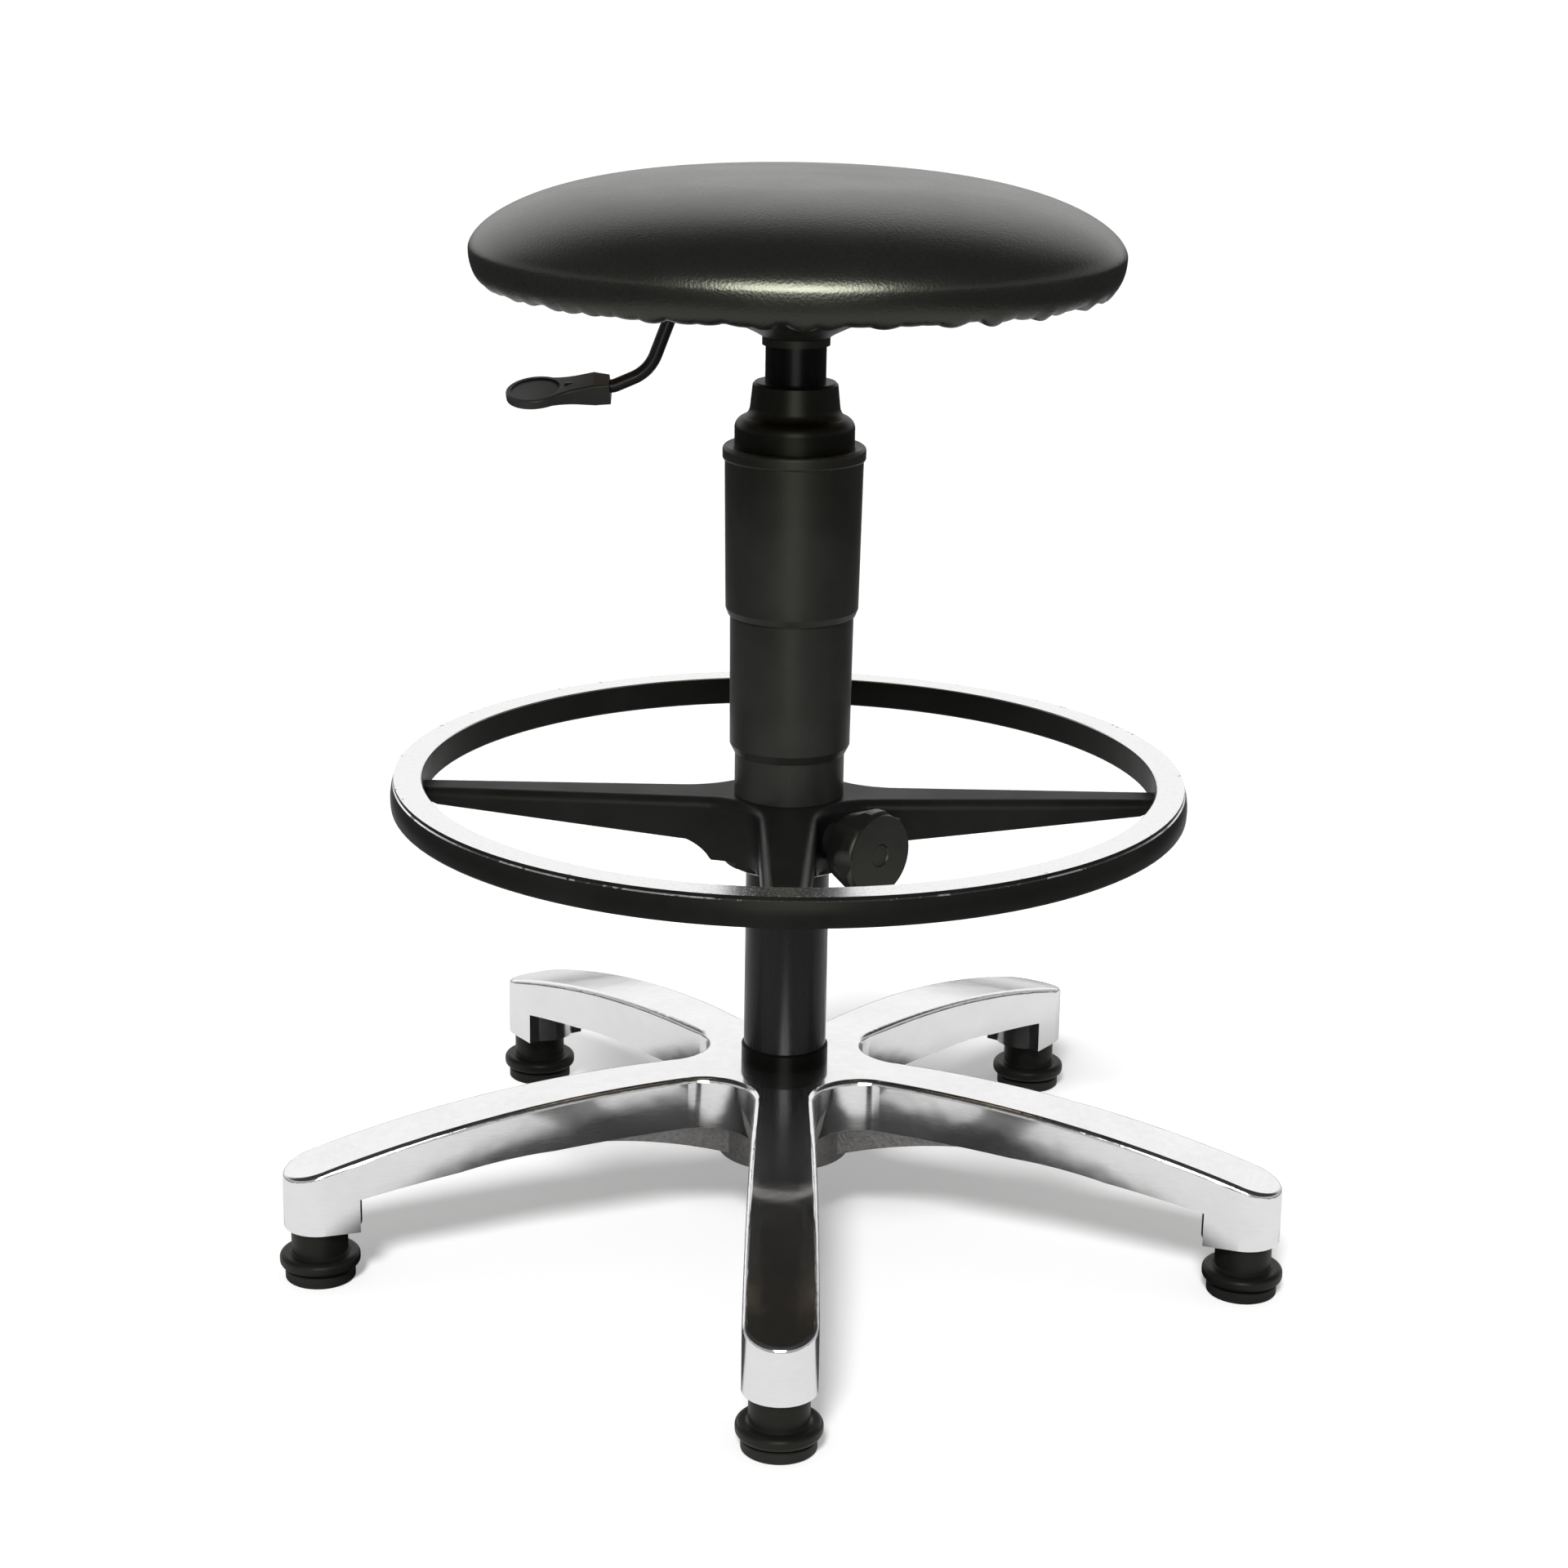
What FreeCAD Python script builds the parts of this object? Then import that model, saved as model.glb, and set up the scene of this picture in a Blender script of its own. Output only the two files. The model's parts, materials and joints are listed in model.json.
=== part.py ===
"""Height-adjustable office stool on a five-arm base with a clamped foot ring.

Lengths are millimetres and angles degrees. The origin is on the floor on the column's axis, +Z is up,
and the front arm of the base points along -Y.
"""

import FreeCAD, Part
import math
import os
import Sketcher

V = FreeCAD.Vector

# Driving sizes, each written once. Radii are outer radii unless the name says bore.
SIZES = {
    # clearances
    "running_gap": 0.05,
    "loose_gap": 0.3,
    "seat_gap": 0.1,
    "top_clearance": 12.0,
    "tip_clearance": 6.0,
    # glides
    "arm_count": 5,
    "glide_circle": 288.0,
    "sole_radius": 20.7,
    "sole_height": 7.0,
    "sole_edge": 0.8,
    "glide_waist_radius": 18.6,
    "glide_waist_height": 1.5,
    "glide_flange_radius": 23.8,
    "glide_flange_height": 8.0,
    "glide_flange_round": 3.0,
    "glide_neck_radius": 16.7,
    "glide_neck_height": 17.5,
    "glide_neck_foot": 1.4,
    "stem_radius": 5.5,
    "stem_reach": 30.0,
    "stem_floor": 5.0,
    "stem_groove": 0.6,
    # base casting
    "boss_height": 25.5,
    "boss_inset": 5.0,
    "tip_radius": 20.6,
    "arm_root_half_width": 15.5,
    "hub_top": 108.0,
    "hub_flat_radius": 52.0,
    "arm_top_curve": 833.0,
    "wall_depth": 32.0,
    "arm_under_curve": 1100.0,
    "valley_radius": 30.0,
    "arm_edge_round": 3.0,
    "keel_half_width": 11.0,
    "keel_reach": 205.0,
    "keel_depth": 22.0,
    "keel_curve": 310.0,
    "keel_overlap": 4.0,
    "barrel_radius": 40.0,
    "barrel_depth": 58.0,
    "collar_radius": 26.3,
    "collar_height": 11.0,
    "collar_edge_height": 1.0,
    "collar_edge_width": 0.7,
    # gas lift
    "tube_radius": 25.0,
    "tube_wall": 1.5,
    "tube_floor": 3.0,
    "tube_lift": 6.0,
    "tube_length": 396.0,
    "bush_length": 45.0,
    "press_tube_radius": 14.0,
    "press_tube_wall": 1.5,
    "press_tube_low": 69.0,
    "guide_length": 12.0,
    "rod_radius": 5.0,
    "rod_tip_radius": 3.8,
    "rod_tip_drop": 5.0,
    "piston_height": 8.0,
    "piston_lift": 206.0,
    "washer_radius": 12.0,
    "washer_height": 2.0,
    "bearing_height": 3.0,
    "clip_height": 1.2,
    "clip_radius": 7.0,
    "stop_height": 8.0,
    "stop_radius": 10.0,
    "valve_length": 18.0,
    "pin_radius": 4.0,
    "pin_lift": 4.5,
    "pin_length": 16.0,
    # telescopic covers
    "lower_cover_radius": 32.5,
    "lower_cover_length": 90.0,
    "cover_wall": 1.8,
    "cover_foot": 3.0,
    "middle_cover_lift": 26.1,
    "middle_cover_length": 148.6,
    "middle_cover_radius": 35.65,
    "middle_cover_taper": 1.3,
    "cover_chamfer": 5.0,
    "upper_cover_drop": 64.0,
    "upper_cover_length": 99.6,
    "upper_cover_radius": 39.05,
    "upper_cover_taper": 1.3,
    "rim_radius": 41.65,
    "rim_height": 8.1,
    "rim_foot_width": 0.4,
    "rim_foot_height": 1.4,
    "rim_crest_height": 2.2,
    "rim_crest_width": 1.6,
    "rim_dip": 0.8,
    "ledge_height": 4.6,
    "cap_radius": 34.9,
    "cap_flange": 2.1,
    "cap_flange_height": 3.0,
    "cap_shoulder_height": 12.4,
    "cap_shoulder_radius": 33.8,
    "cap_waist_height": 22.4,
    "cap_waist_radius": 26.1,
    "cap_height": 37.0,
    "cap_top_radius": 24.7,
    "cap_wall": 2.0,
    "cap_flare_curve": 7.5,
    "cap_shoulder_curve": 7.0,
    "cap_shoulder_drop": 3.0,
    "cap_middle_inset": 0.6,
    "cap_middle_rise": 4.6,
    "cap_top_edge": 1.4,
    "spacer_radius": 17.6,
    "spacer_rise": 21.4,
    "spacer_drop": 18.0,
    "spacer_flange": 3.0,
    # foot ring
    "ring_hub_top": 278.0,
    "ring_yaw": -45.3,
    "spoke_count": 4,
    "ring_radius": 236.6,
    "ring_width": 19.3,
    "ring_height": 17.5,
    "ring_rise": 13.5,
    "ring_bead": 2.8,
    "ring_bead_step": 0.7,
    "ring_chamfer": 1.0,
    "ring_bulge": 30.0,
    "ring_side_draft": 0.5,
    "ring_top_draft": 1.7,
    "ring_foot_round": 2.0,
    "spoke_root_half_width": 18.7,
    "spoke_end_half_width": 11.6,
    "spoke_end_depth": 7.6,
    "spoke_toe": 8.0,
    "spoke_heel_reach": 48.8,
    "spoke_heel_depth": 37.7,
    "spoke_rise": 1.7,
    "spoke_mid_depth": 25.0,
    "front_valley_radius": 33.0,
    "back_valley_radius": 50.0,
    "spoke_edge_round": 5.5,
    "ring_hub_radius": 36.0,
    "ring_hub_height": 41.0,
    "ring_hub_skirt": 38.6,
    "ring_hub_step": 63.0,
    "ring_step_curve": 30.0,
    "ring_bush_wall": 3.0,
    "ring_bush_flange": 2.0,
    "ring_bush_flange_width": 6.0,
    # clamp knob
    "clamp_drop": 21.4,
    "clamp_boss_radius": 11.5,
    "clamp_boss_reach": 50.1,
    "insert_radius": 6.4,
    "insert_length": 9.3,
    "screw_radius": 4.0,
    "screw_tip_radius": 2.8,
    "screw_tip_length": 3.0,
    "shoe_radius": 6.0,
    "shoe_length": 5.2,
    "knob_radius": 26.3,
    "knob_back_radius": 20.5,
    "knob_grip_depth": 8.0,
    "knob_length": 25.0,
    "knob_stand_off": 1.5,
    "knob_flutes": 6,
    "knob_flute_radius": 24.0,
    "knob_flute_depth": 2.4,
    "knob_edge": 2.4,
    "knob_dimple_radius": 7.0,
    "knob_dimple_depth": 0.8,
    # seat carrier
    "plate_rise": 35.0,
    "plate_radius": 80.0,
    "plate_height": 3.0,
    "hub_sleeve_radius": 19.1,
    "hub_sleeve_height": 16.0,
    "hub_rim_radius": 19.6,
    "hub_rim_height": 4.4,
    "bell_cone_radius": 23.35,
    "bell_cone_height": 7.0,
    "bell_radius": 32.5,
    "bell_height": 11.4,
    "bell_top_radius": 58.0,
    "bell_curve": 60.0,
    "bell_wall": 2.2,
    "bell_slot_width": 13.0,
    "bell_slot_start": 2.0,
    "bell_slot_below": 3.0,
    "fixing_circle": 70.0,
    "fixing_count": 4,
    "fixing_radius": 3.0,
    "fixing_head_radius": 6.0,
    "fixing_head_height": 3.6,
    "fixing_washer_radius": 8.0,
    "fixing_washer_height": 1.2,
    "nut_radius": 4.2,
    "nut_flange_radius": 9.5,
    "nut_flange_height": 1.2,
    "nut_foot": 2.0,
    # lever
    "lever_radius": 3.9,
    "pivot_reach": 24.0,
    "pivot_pin_radius": 2.5,
    "pin_end": 0.5,
    "eye_wall": 1.6,
    "ear_gap": 5.2,
    "ear_thickness": 2.5,
    "ear_width": 14.0,
    "lever_inner_reach": 5.0,
    "lever_knee_reach": 67.9,
    "lever_foot_reach": 84.0,
    "lever_foot_drop": 42.5,
    "lever_entry_reach": 104.5,
    "lever_entry_drop": 9.0,
    "lever_slope": 5.0,
    "lever_grip": 26.0,
    "knee_bend": 12.0,
    "foot_bend": 24.0,
    "entry_bend": 11.0,
    "paddle_start": 106.5,
    "paddle_roll": 15.0,
    "paddle_length": 60.3,
    "paddle_end_radius": 17.3,
    "paddle_neck_half_width": 10.5,
    "paddle_neck_half_height": 6.25,
    "paddle_drop": 0.8,
    "paddle_neck_length": 16.0,
    "paddle_corner_length": 9.0,
    "paddle_corner_width": 5.0,
    "paddle_waist_curve": 33.704,
    "paddle_waist_turn": 60.0,
    "paddle_ramp_start": 9.0,
    "paddle_ramp_length": 25.0,
    "paddle_blade_half_height": 2.9,
    "paddle_edge_round": 1.3,
    "paddle_recess": 0.7,
    "paddle_rim": 3.2,
    # seat
    "seat_radius": 186.2,
    "seat_crown": 43.1,
    "seat_belly": 16.4,
    "seat_crown_power": 2.85,
    "seat_crown_fall": 1.7,
    "hem_reach": 36.2,
    "hem_turn": 9.2,
    "hem_thickness": 2.0,
    "board_inset": 16.2,
    "board_height": 12.0,
    "cover_skin": 1.2,
}


class Size:
    """A number together with the sheet expression that gives it."""

    def __init__(self, value, text):
        self.value = float(value)
        self.text = text

    def __add__(self, other):
        other = as_size(other)
        return Size(self.value + other.value, f"({self.text} + {other.text})")

    def __sub__(self, other):
        other = as_size(other)
        return Size(self.value - other.value, f"({self.text} - {other.text})")

    def __mul__(self, other):
        other = as_size(other)
        return Size(self.value * other.value, f"({self.text} * {other.text})")

    def __truediv__(self, other):
        other = as_size(other)
        return Size(self.value / other.value, f"({self.text} / {other.text})")

    def __neg__(self):
        return Size(-self.value, f"(0 - {self.text})")

    def __rsub__(self, other):
        return as_size(other) - self

    __radd__ = __add__
    __rmul__ = __mul__


def as_size(number):
    """The number itself if it is already a Size, otherwise a Size with no link to the sheet."""
    return number if isinstance(number, Size) else Size(number, f"({float(number)})")


def root(size):
    return Size(math.sqrt(size.value), f"sqrt({size.text})")


def cosine(angle):
    return Size(math.cos(math.radians(angle.value)), f"cos({angle.text})")


def sine(angle):
    return Size(math.sin(math.radians(angle.value)), f"sin({angle.text})")


doc = FreeCAD.newDocument("office_stool")
sheet = doc.addObject("Spreadsheet::Sheet", "Sizes")


class Sheet:
    """Every cell of the sheet as a Size, by its alias."""


for row, (alias, number) in enumerate(SIZES.items(), start=1):
    sheet.set(f"A{row}", alias)
    sheet.set(f"B{row}", str(number))
    sheet.setAlias(f"B{row}", alias)
    setattr(Sheet, alias, Size(number, f"Sizes.{alias}"))
doc.recompute()
s = Sheet


# Helpers for sketches and features


class Bow:
    """Marks the edge between two corners of an outline as an arc: side 1 bows left of the way, -1 right."""

    def __init__(self, radius, side):
        self.radius = as_size(radius)
        self.side = side


def bind(thing, path, size):
    size = as_size(size)
    thing.setExpression(path, size.text)


def origin_part(body, role):
    return next(f for f in body.Origin.OriginFeatures if f.Role == role)


def new_body(label):
    body = doc.addObject("PartDesign::Body", label)
    body.Label = label
    return body


def arc_between(start, end, bow):
    """Centre, first and last angle of the counterclockwise arc, and whether the way runs against it."""
    chord = end - start
    half = chord.Length / 2
    radius = bow.radius.value
    left = V(-chord.y, chord.x, 0).normalize()
    rise = math.sqrt(max(radius * radius - half * half, 0.0))
    centre = (start + end) / 2 - left * (rise * bow.side)
    angle = {}
    for key, point in (("start", start), ("end", end)):
        angle[key] = math.atan2(point.y - centre.y, point.x - centre.x)
    backwards = bow.side > 0
    first, last = (angle["end"], angle["start"]) if backwards else (angle["start"], angle["end"])
    if last < first:
        last += 2 * math.pi
    return centre, first, last, backwards


def draw(sketch, outline):
    """Draws the closed outline: corners are pairs of sizes, and a Bow between two makes their edge an arc."""
    corners = []
    bows = {}
    for item in outline:
        if isinstance(item, Bow):
            bows[len(corners) - 1] = item
        else:
            corners.append((as_size(item[0]), as_size(item[1])))
    count = len(corners)
    ends = []
    for i in range(count):
        x, y = corners[i]
        next_x, next_y = corners[(i + 1) % count]
        start = V(x.value, y.value, 0)
        end = V(next_x.value, next_y.value, 0)
        if i in bows:
            centre, first, last, backwards = arc_between(start, end, bows[i])
            circle = Part.Circle(centre, V(0, 0, 1), bows[i].radius.value)
            geo = sketch.addGeometry(Part.ArcOfCircle(circle, first, last), False)
            ends.append((geo, 2, 1) if backwards else (geo, 1, 2))
        else:
            geo = sketch.addGeometry(Part.LineSegment(start, end), False)
            ends.append((geo, 1, 2))
    for i in range(count):
        geo, _, last_end = ends[i]
        next_geo, next_start, _ = ends[(i + 1) % count]
        sketch.addConstraint(Sketcher.Constraint("Coincident", geo, last_end, next_geo, next_start))
    for i in range(count):
        geo, start_end, _ = ends[i]
        x, y = corners[i]
        pin(sketch, "DistanceX", geo, start_end, x)
        pin(sketch, "DistanceY", geo, start_end, y)
        if i in bows:
            radius = bows[i].radius
            index = sketch.addConstraint(Sketcher.Constraint("Radius", geo, radius.value))
            bind(sketch, f"Constraints[{index}]", radius)


def pin(sketch, kind, geo, end, size):
    """Holds one coordinate of a point at a size measured from the sketch's origin."""
    index = sketch.addConstraint(Sketcher.Constraint(kind, -1, 1, geo, end, size.value))
    bind(sketch, f"Constraints[{index}]", size)


def sketch_on(body, name, role, shift=(0, 0, 0), turn=0):
    """A sketch on one of the body's own origin planes, moved by sizes along its own axes and turned."""
    sketch = body.newObject("Sketcher::SketchObject", name)
    sketch.AttachmentSupport = [(origin_part(body, role), "")]
    sketch.MapMode = "FlatFace"
    shift = [as_size(x) for x in shift]
    place = V(*[x.value for x in shift])
    sketch.AttachmentOffset = FreeCAD.Placement(place, FreeCAD.Rotation(V(0, 0, 1), turn))
    for axis, size in zip("xyz", shift):
        if size.value:
            bind(sketch, f"AttachmentOffset.Base.{axis}", size)
    return sketch


def add_feature(body, kind, name):
    return body.newObject(f"PartDesign::{kind}", name)


def revolve(body, name, outline, cut=False, axis="V_Axis", shift=(0, 0, 0)):
    """Revolves an outline of radii and heights about the body's Z axis, or X axis with axis H_Axis."""
    sketch = sketch_on(body, f"{name}_sketch", "XZ_Plane", shift)
    draw(sketch, outline)
    feature = add_feature(body, "Groove" if cut else "Revolution", name)
    feature.Profile = sketch
    feature.ReferenceAxis = (sketch, [axis])
    feature.Angle = 360
    sketch.Visibility = False
    return finish_step(body, feature, cut)


def extrude(body, name, outline, low, high, cut=False, role="XY_Plane", turn=0):
    """Pads or pockets an outline between two distances from its plane."""
    low = as_size(low)
    sketch = sketch_on(body, f"{name}_sketch", role, (0, 0, low), turn)
    if isinstance(outline, Disc):
        outline.draw(sketch)
    else:
        draw(sketch, outline)
    feature = add_feature(body, "Pocket" if cut else "Pad", name)
    feature.Profile = sketch
    length = as_size(high) - low
    feature.Length = length.value
    bind(feature, "Length", length)
    if cut:
        feature.Reversed = True
    sketch.Visibility = False
    return finish_step(body, feature, cut)


class Disc:
    """A round outline about a point."""

    def __init__(self, x, y, radius):
        self.x = as_size(x)
        self.y = as_size(y)
        self.radius = as_size(radius)

    def draw(self, sketch):
        circle = Part.Circle(V(self.x.value, self.y.value, 0), V(0, 0, 1), self.radius.value)
        geo = sketch.addGeometry(circle, False)
        pin(sketch, "DistanceX", geo, 3, self.x)
        pin(sketch, "DistanceY", geo, 3, self.y)
        index = sketch.addConstraint(Sketcher.Constraint("Radius", geo, self.radius.value))
        bind(sketch, f"Constraints[{index}]", self.radius)


def finish_step(body, feature, cut=False):
    """Recomputes the body and stops if a cut took nothing away."""
    before = body.Tip.BaseFeature if hasattr(body.Tip, "BaseFeature") else None
    doc.recompute()
    if cut and before is not None and feature.Shape.Volume >= before.Shape.Volume:
        raise RuntimeError(f"{feature.Label} cuts nothing")
    return feature


def repeat(body, features, count, role="Z_Axis"):
    """Repeats features evenly round an axis of the body."""
    pattern = add_feature(body, "PolarPattern", f"{features[0].Name}_pattern")
    pattern.Originals = features
    pattern.Axis = (origin_part(body, role), [""])
    pattern.Angle = 360
    pattern.Occurrences = round(count.value)
    bind(pattern, "Occurrences", count)
    body.Tip = pattern
    doc.recompute()
    return pattern


def edges_where(body, test):
    """Names of the tip's edges that pass a test on the edge."""
    return [f"Edge{i}" for i, edge in enumerate(body.Tip.Shape.Edges, start=1) if test(edge)]


def soften(body, name, test, size, kind="Fillet"):
    """Rounds or chamfers the edges that pass the test."""
    names = edges_where(body, test)
    if not names:
        raise RuntimeError(f"{name} finds no edge")
    feature = add_feature(body, kind, name)
    feature.Base = (feature.BaseFeature, names)
    prop = "Radius" if kind == "Fillet" else "Size"
    setattr(feature, prop, size.value)
    bind(feature, prop, size)
    doc.recompute()
    return feature


def middle(edge):
    return edge.valueAt((edge.FirstParameter + edge.LastParameter) / 2)


def place(body, x=0, y=0, z=0, rotation=None):
    """Places a body and binds its position to the sheet."""
    sizes = [as_size(x), as_size(y), as_size(z)]
    base = V(*[size.value for size in sizes])
    body.Placement = FreeCAD.Placement(base, rotation or FreeCAD.Rotation())
    for axis, size in zip("xyz", sizes):
        if size.text != "(0.0)":
            bind(body, f"Placement.Base.{axis}", size)
    doc.recompute()


def about_z(angle):
    return FreeCAD.Rotation(V(0, 0, 1), angle)


def ring(label, bore, radius, low, high):
    """A plain ring with a rectangular section."""
    body = new_body(label)
    revolve(body, f"{label}_turn", [(bore, low), (radius, low), (radius, high), (bore, high)])
    return body


# Levels, from the floor up
flange_low = s.sole_height + s.glide_waist_height
neck_low = flange_low + s.glide_flange_height
boss_low = neck_low + s.glide_neck_height
wall_low = s.hub_top - s.wall_depth
barrel_low = s.hub_top - s.barrel_depth
tube_low = barrel_low + s.tube_lift
tube_high = tube_low + s.tube_length
race_low = tube_low + s.tube_floor
shoulder = race_low + s.washer_height * 2 + s.bearing_height
press_low = tube_low + s.press_tube_low
piston_low = tube_low + s.piston_lift
cover_low = s.ring_hub_top + s.loose_gap
middle_low = cover_low + s.middle_cover_lift
upper_low = tube_high - s.upper_cover_drop
rim_high = upper_low + s.upper_cover_length
cap_high = rim_high + s.cap_height
spacer_high = cap_high + s.spacer_rise - s.loose_gap
hub_low = cap_high + s.spacer_rise
plate_low = hub_low + s.plate_rise
board_low = plate_low + s.plate_height
press_high = hub_low + s.hub_sleeve_height + 1.0
pin_high = press_high + s.pin_lift
lever_height = pin_high + s.loose_gap + s.lever_radius
widest = board_low + s.seat_belly
board_radius = s.seat_radius - s.board_inset
ring_low = s.ring_hub_top + s.ring_rise - s.ring_height
ring_high = ring_low + s.ring_height
hub_bottom = s.ring_hub_top - s.ring_hub_height
clamp_height = s.ring_hub_top - s.clamp_drop


# Base casting


def arm_top(radius):
    """Height of the arms' top face at a distance from the column's axis."""
    out = max(radius - s.hub_flat_radius.value, 0.0)
    curve = s.arm_top_curve.value
    return s.hub_top.value - (curve - math.sqrt(curve * curve - out * out))


def drop_of(curve, run):
    """How far an arc that starts level has dropped after a run."""
    return curve - root(curve * curve - run * run)


def base_star():
    """Hub with five arms that thin towards their tips, a keel rib under each and a boss for each glide."""
    body = new_body("base_star")
    narrowing = s.tip_radius - s.arm_root_half_width
    side = (s.glide_circle * s.glide_circle + narrowing * narrowing) / (2 * narrowing)
    tip = s.glide_circle + s.tip_radius
    above = s.hub_top + s.top_clearance
    beyond = tip + s.tip_clearance
    arm = extrude(
        body,
        "arm",
        [
            (0, -s.arm_root_half_width),
            Bow(side, -1),
            (s.glide_circle, -s.tip_radius),
            Bow(s.tip_radius, -1),
            (tip, 0),
            Bow(s.tip_radius, -1),
            (s.glide_circle, s.tip_radius),
            Bow(side, -1),
            (0, s.arm_root_half_width),
        ],
        boss_low,
        above,
        turn=-90,
    )
    repeat(body, [arm], s.arm_count)

    near = s.arm_root_half_width.value * 3

    def valley(edge):
        point = middle(edge)
        upright = abs(edge.tangentAt(edge.FirstParameter).z) > 0.99
        return upright and math.hypot(point.x, point.y) < near

    soften(body, "valleys", valley, s.valley_radius)

    run = beyond - s.hub_flat_radius
    revolve(
        body,
        "arm_tops",
        [
            (0, s.hub_top),
            (s.hub_flat_radius, s.hub_top),
            Bow(s.arm_top_curve, 1),
            (beyond, s.hub_top - drop_of(s.arm_top_curve, run)),
            (beyond, above + 1),
            (0, above + 1),
        ],
        cut=True,
    )

    flat = s.hub_flat_radius.value

    def top_rim(edge):
        points = [v.Point for v in edge.Vertexes] + [middle(edge)]
        on_top = all(abs(p.z - arm_top(math.hypot(p.x, p.y))) < 0.02 for p in points)
        on_seam = all(abs(math.hypot(p.x, p.y) - flat) < 0.02 for p in points)
        return on_top and not on_seam

    soften(body, "top_rims", top_rim, s.arm_edge_round)

    boss_middle = s.glide_circle - s.boss_inset
    boss_radius = s.tip_radius - s.loose_gap
    boss_inner = boss_middle - boss_radius + s.boss_inset
    under_run = boss_inner - s.hub_flat_radius
    revolve(
        body,
        "arm_undersides",
        [
            (0, boss_low - 1),
            (boss_inner, boss_low - 1),
            (boss_inner, wall_low - drop_of(s.arm_under_curve, under_run)),
            Bow(s.arm_under_curve, -1),
            (s.hub_flat_radius, wall_low),
            (0, wall_low),
        ],
        cut=True,
    )

    boss = extrude(
        body, "boss", Disc(boss_middle, 0, boss_radius), boss_low, boss_low + s.boss_height, turn=-90
    )
    repeat(body, [boss], s.arm_count)

    keel_high = wall_low + s.keel_overlap
    extrude(body, "barrel", Disc(0, 0, s.barrel_radius), barrel_low, keel_high)
    keel = extrude(
        body,
        "keel",
        [
            (0, -s.keel_half_width),
            (s.keel_reach, -s.keel_half_width),
            (s.keel_reach, s.keel_half_width),
            (0, s.keel_half_width),
        ],
        barrel_low,
        keel_high,
        turn=-90,
    )
    repeat(body, [keel], s.arm_count)
    keel_run = s.keel_reach - s.hub_flat_radius
    revolve(
        body,
        "keel_undersides",
        [
            (s.barrel_radius, barrel_low - 1),
            (s.keel_reach + 1, barrel_low - 1),
            (s.keel_reach + 1, wall_low - drop_of(s.arm_under_curve, keel_run)),
            Bow(s.keel_curve, -1),
            (s.barrel_radius, wall_low - s.keel_depth),
        ],
        cut=True,
    )
    revolve(
        body,
        "column_bore",
        [(0, barrel_low - 1), (s.tube_radius, barrel_low - 1), (s.tube_radius, above), (0, above)],
        cut=True,
    )
    socket = extrude(
        body,
        "stem_socket",
        Disc(s.glide_circle, 0, s.stem_radius + s.seat_gap),
        boss_low,
        boss_low + s.stem_reach + s.seat_gap,
        cut=True,
        turn=-90,
    )
    repeat(body, [socket], s.arm_count)
    return body


def base_collar():
    """Plastic collar that closes the joint between the hub and the tube."""
    body = new_body("base_collar")
    high = s.hub_top + s.collar_height
    revolve(
        body,
        "collar",
        [
            (s.tube_radius, s.hub_top),
            (s.collar_radius, s.hub_top),
            (s.collar_radius, high - s.collar_edge_height),
            (s.collar_radius - s.collar_edge_width, high),
            (s.tube_radius, high),
        ],
    )
    return body


# Glides


def glide_spot(index):
    """Placement of the glide on one arm."""
    step = Size(360, "360") / s.arm_count
    angle = step * index - 90
    return s.glide_circle * cosine(angle), s.glide_circle * sine(angle)


def glide_body(index):
    """Moulded foot with a thick rounded flange and a neck that butts on the boss."""
    body = new_body(f"glide_body_{index + 1}")
    bore = s.stem_radius
    half = s.glide_flange_round
    revolve(
        body,
        "foot",
        [
            (0, s.sole_height),
            (s.glide_waist_radius, s.sole_height),
            (s.glide_waist_radius, flange_low),
            (s.glide_flange_radius - half, flange_low),
            Bow(half, -1),
            (s.glide_flange_radius, flange_low + half),
            (s.glide_flange_radius, neck_low - half),
            Bow(half, -1),
            (s.glide_flange_radius - half, neck_low),
            (s.glide_neck_radius + s.glide_neck_foot, neck_low),
            (s.glide_neck_radius, neck_low + s.glide_neck_foot),
            (s.glide_neck_radius, boss_low - s.sole_edge),
            (s.glide_neck_radius - s.sole_edge, boss_low),
            (bore, boss_low),
            (bore, s.sole_height + s.stem_floor),
            (0, s.sole_height + s.stem_floor),
        ],
    )
    x, y = glide_spot(index)
    place(body, x, y)
    return body


def glide_sole(index):
    """Disc that the foot stands on."""
    body = new_body(f"glide_sole_{index + 1}")
    revolve(
        body,
        "sole",
        [
            (0, 0),
            (s.sole_radius - s.sole_edge, 0),
            (s.sole_radius, s.sole_edge),
            (s.sole_radius, s.sole_height - s.sole_edge),
            (s.sole_radius - s.sole_edge, s.sole_height),
            (0, s.sole_height),
        ],
    )
    x, y = glide_spot(index)
    place(body, x, y)
    return body


def glide_stem(index):
    """Steel stem that plugs into the boss, with a groove for its grip and a pointed end."""
    body = new_body(f"glide_stem_{index + 1}")
    low = s.sole_height + s.stem_floor
    high = boss_low + s.stem_reach
    groove = high - s.stem_radius * 1.6
    revolve(
        body,
        "stem",
        [
            (0, low),
            (s.stem_radius, low),
            (s.stem_radius, groove),
            (s.stem_radius - s.stem_groove, groove + s.stem_groove),
            (s.stem_radius - s.stem_groove, groove + s.stem_groove * 4),
            (s.stem_radius, groove + s.stem_groove * 5),
            (s.stem_radius * 0.6, high),
            (0, high),
        ],
    )
    x, y = glide_spot(index)
    place(body, x, y)
    return body


# Gas lift

tube_bore = s.tube_radius - s.tube_wall
tip_bore = s.rod_tip_radius + s.seat_gap
press_bore = s.press_tube_radius - s.press_tube_wall
piston_high = piston_low + s.piston_height


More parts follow.
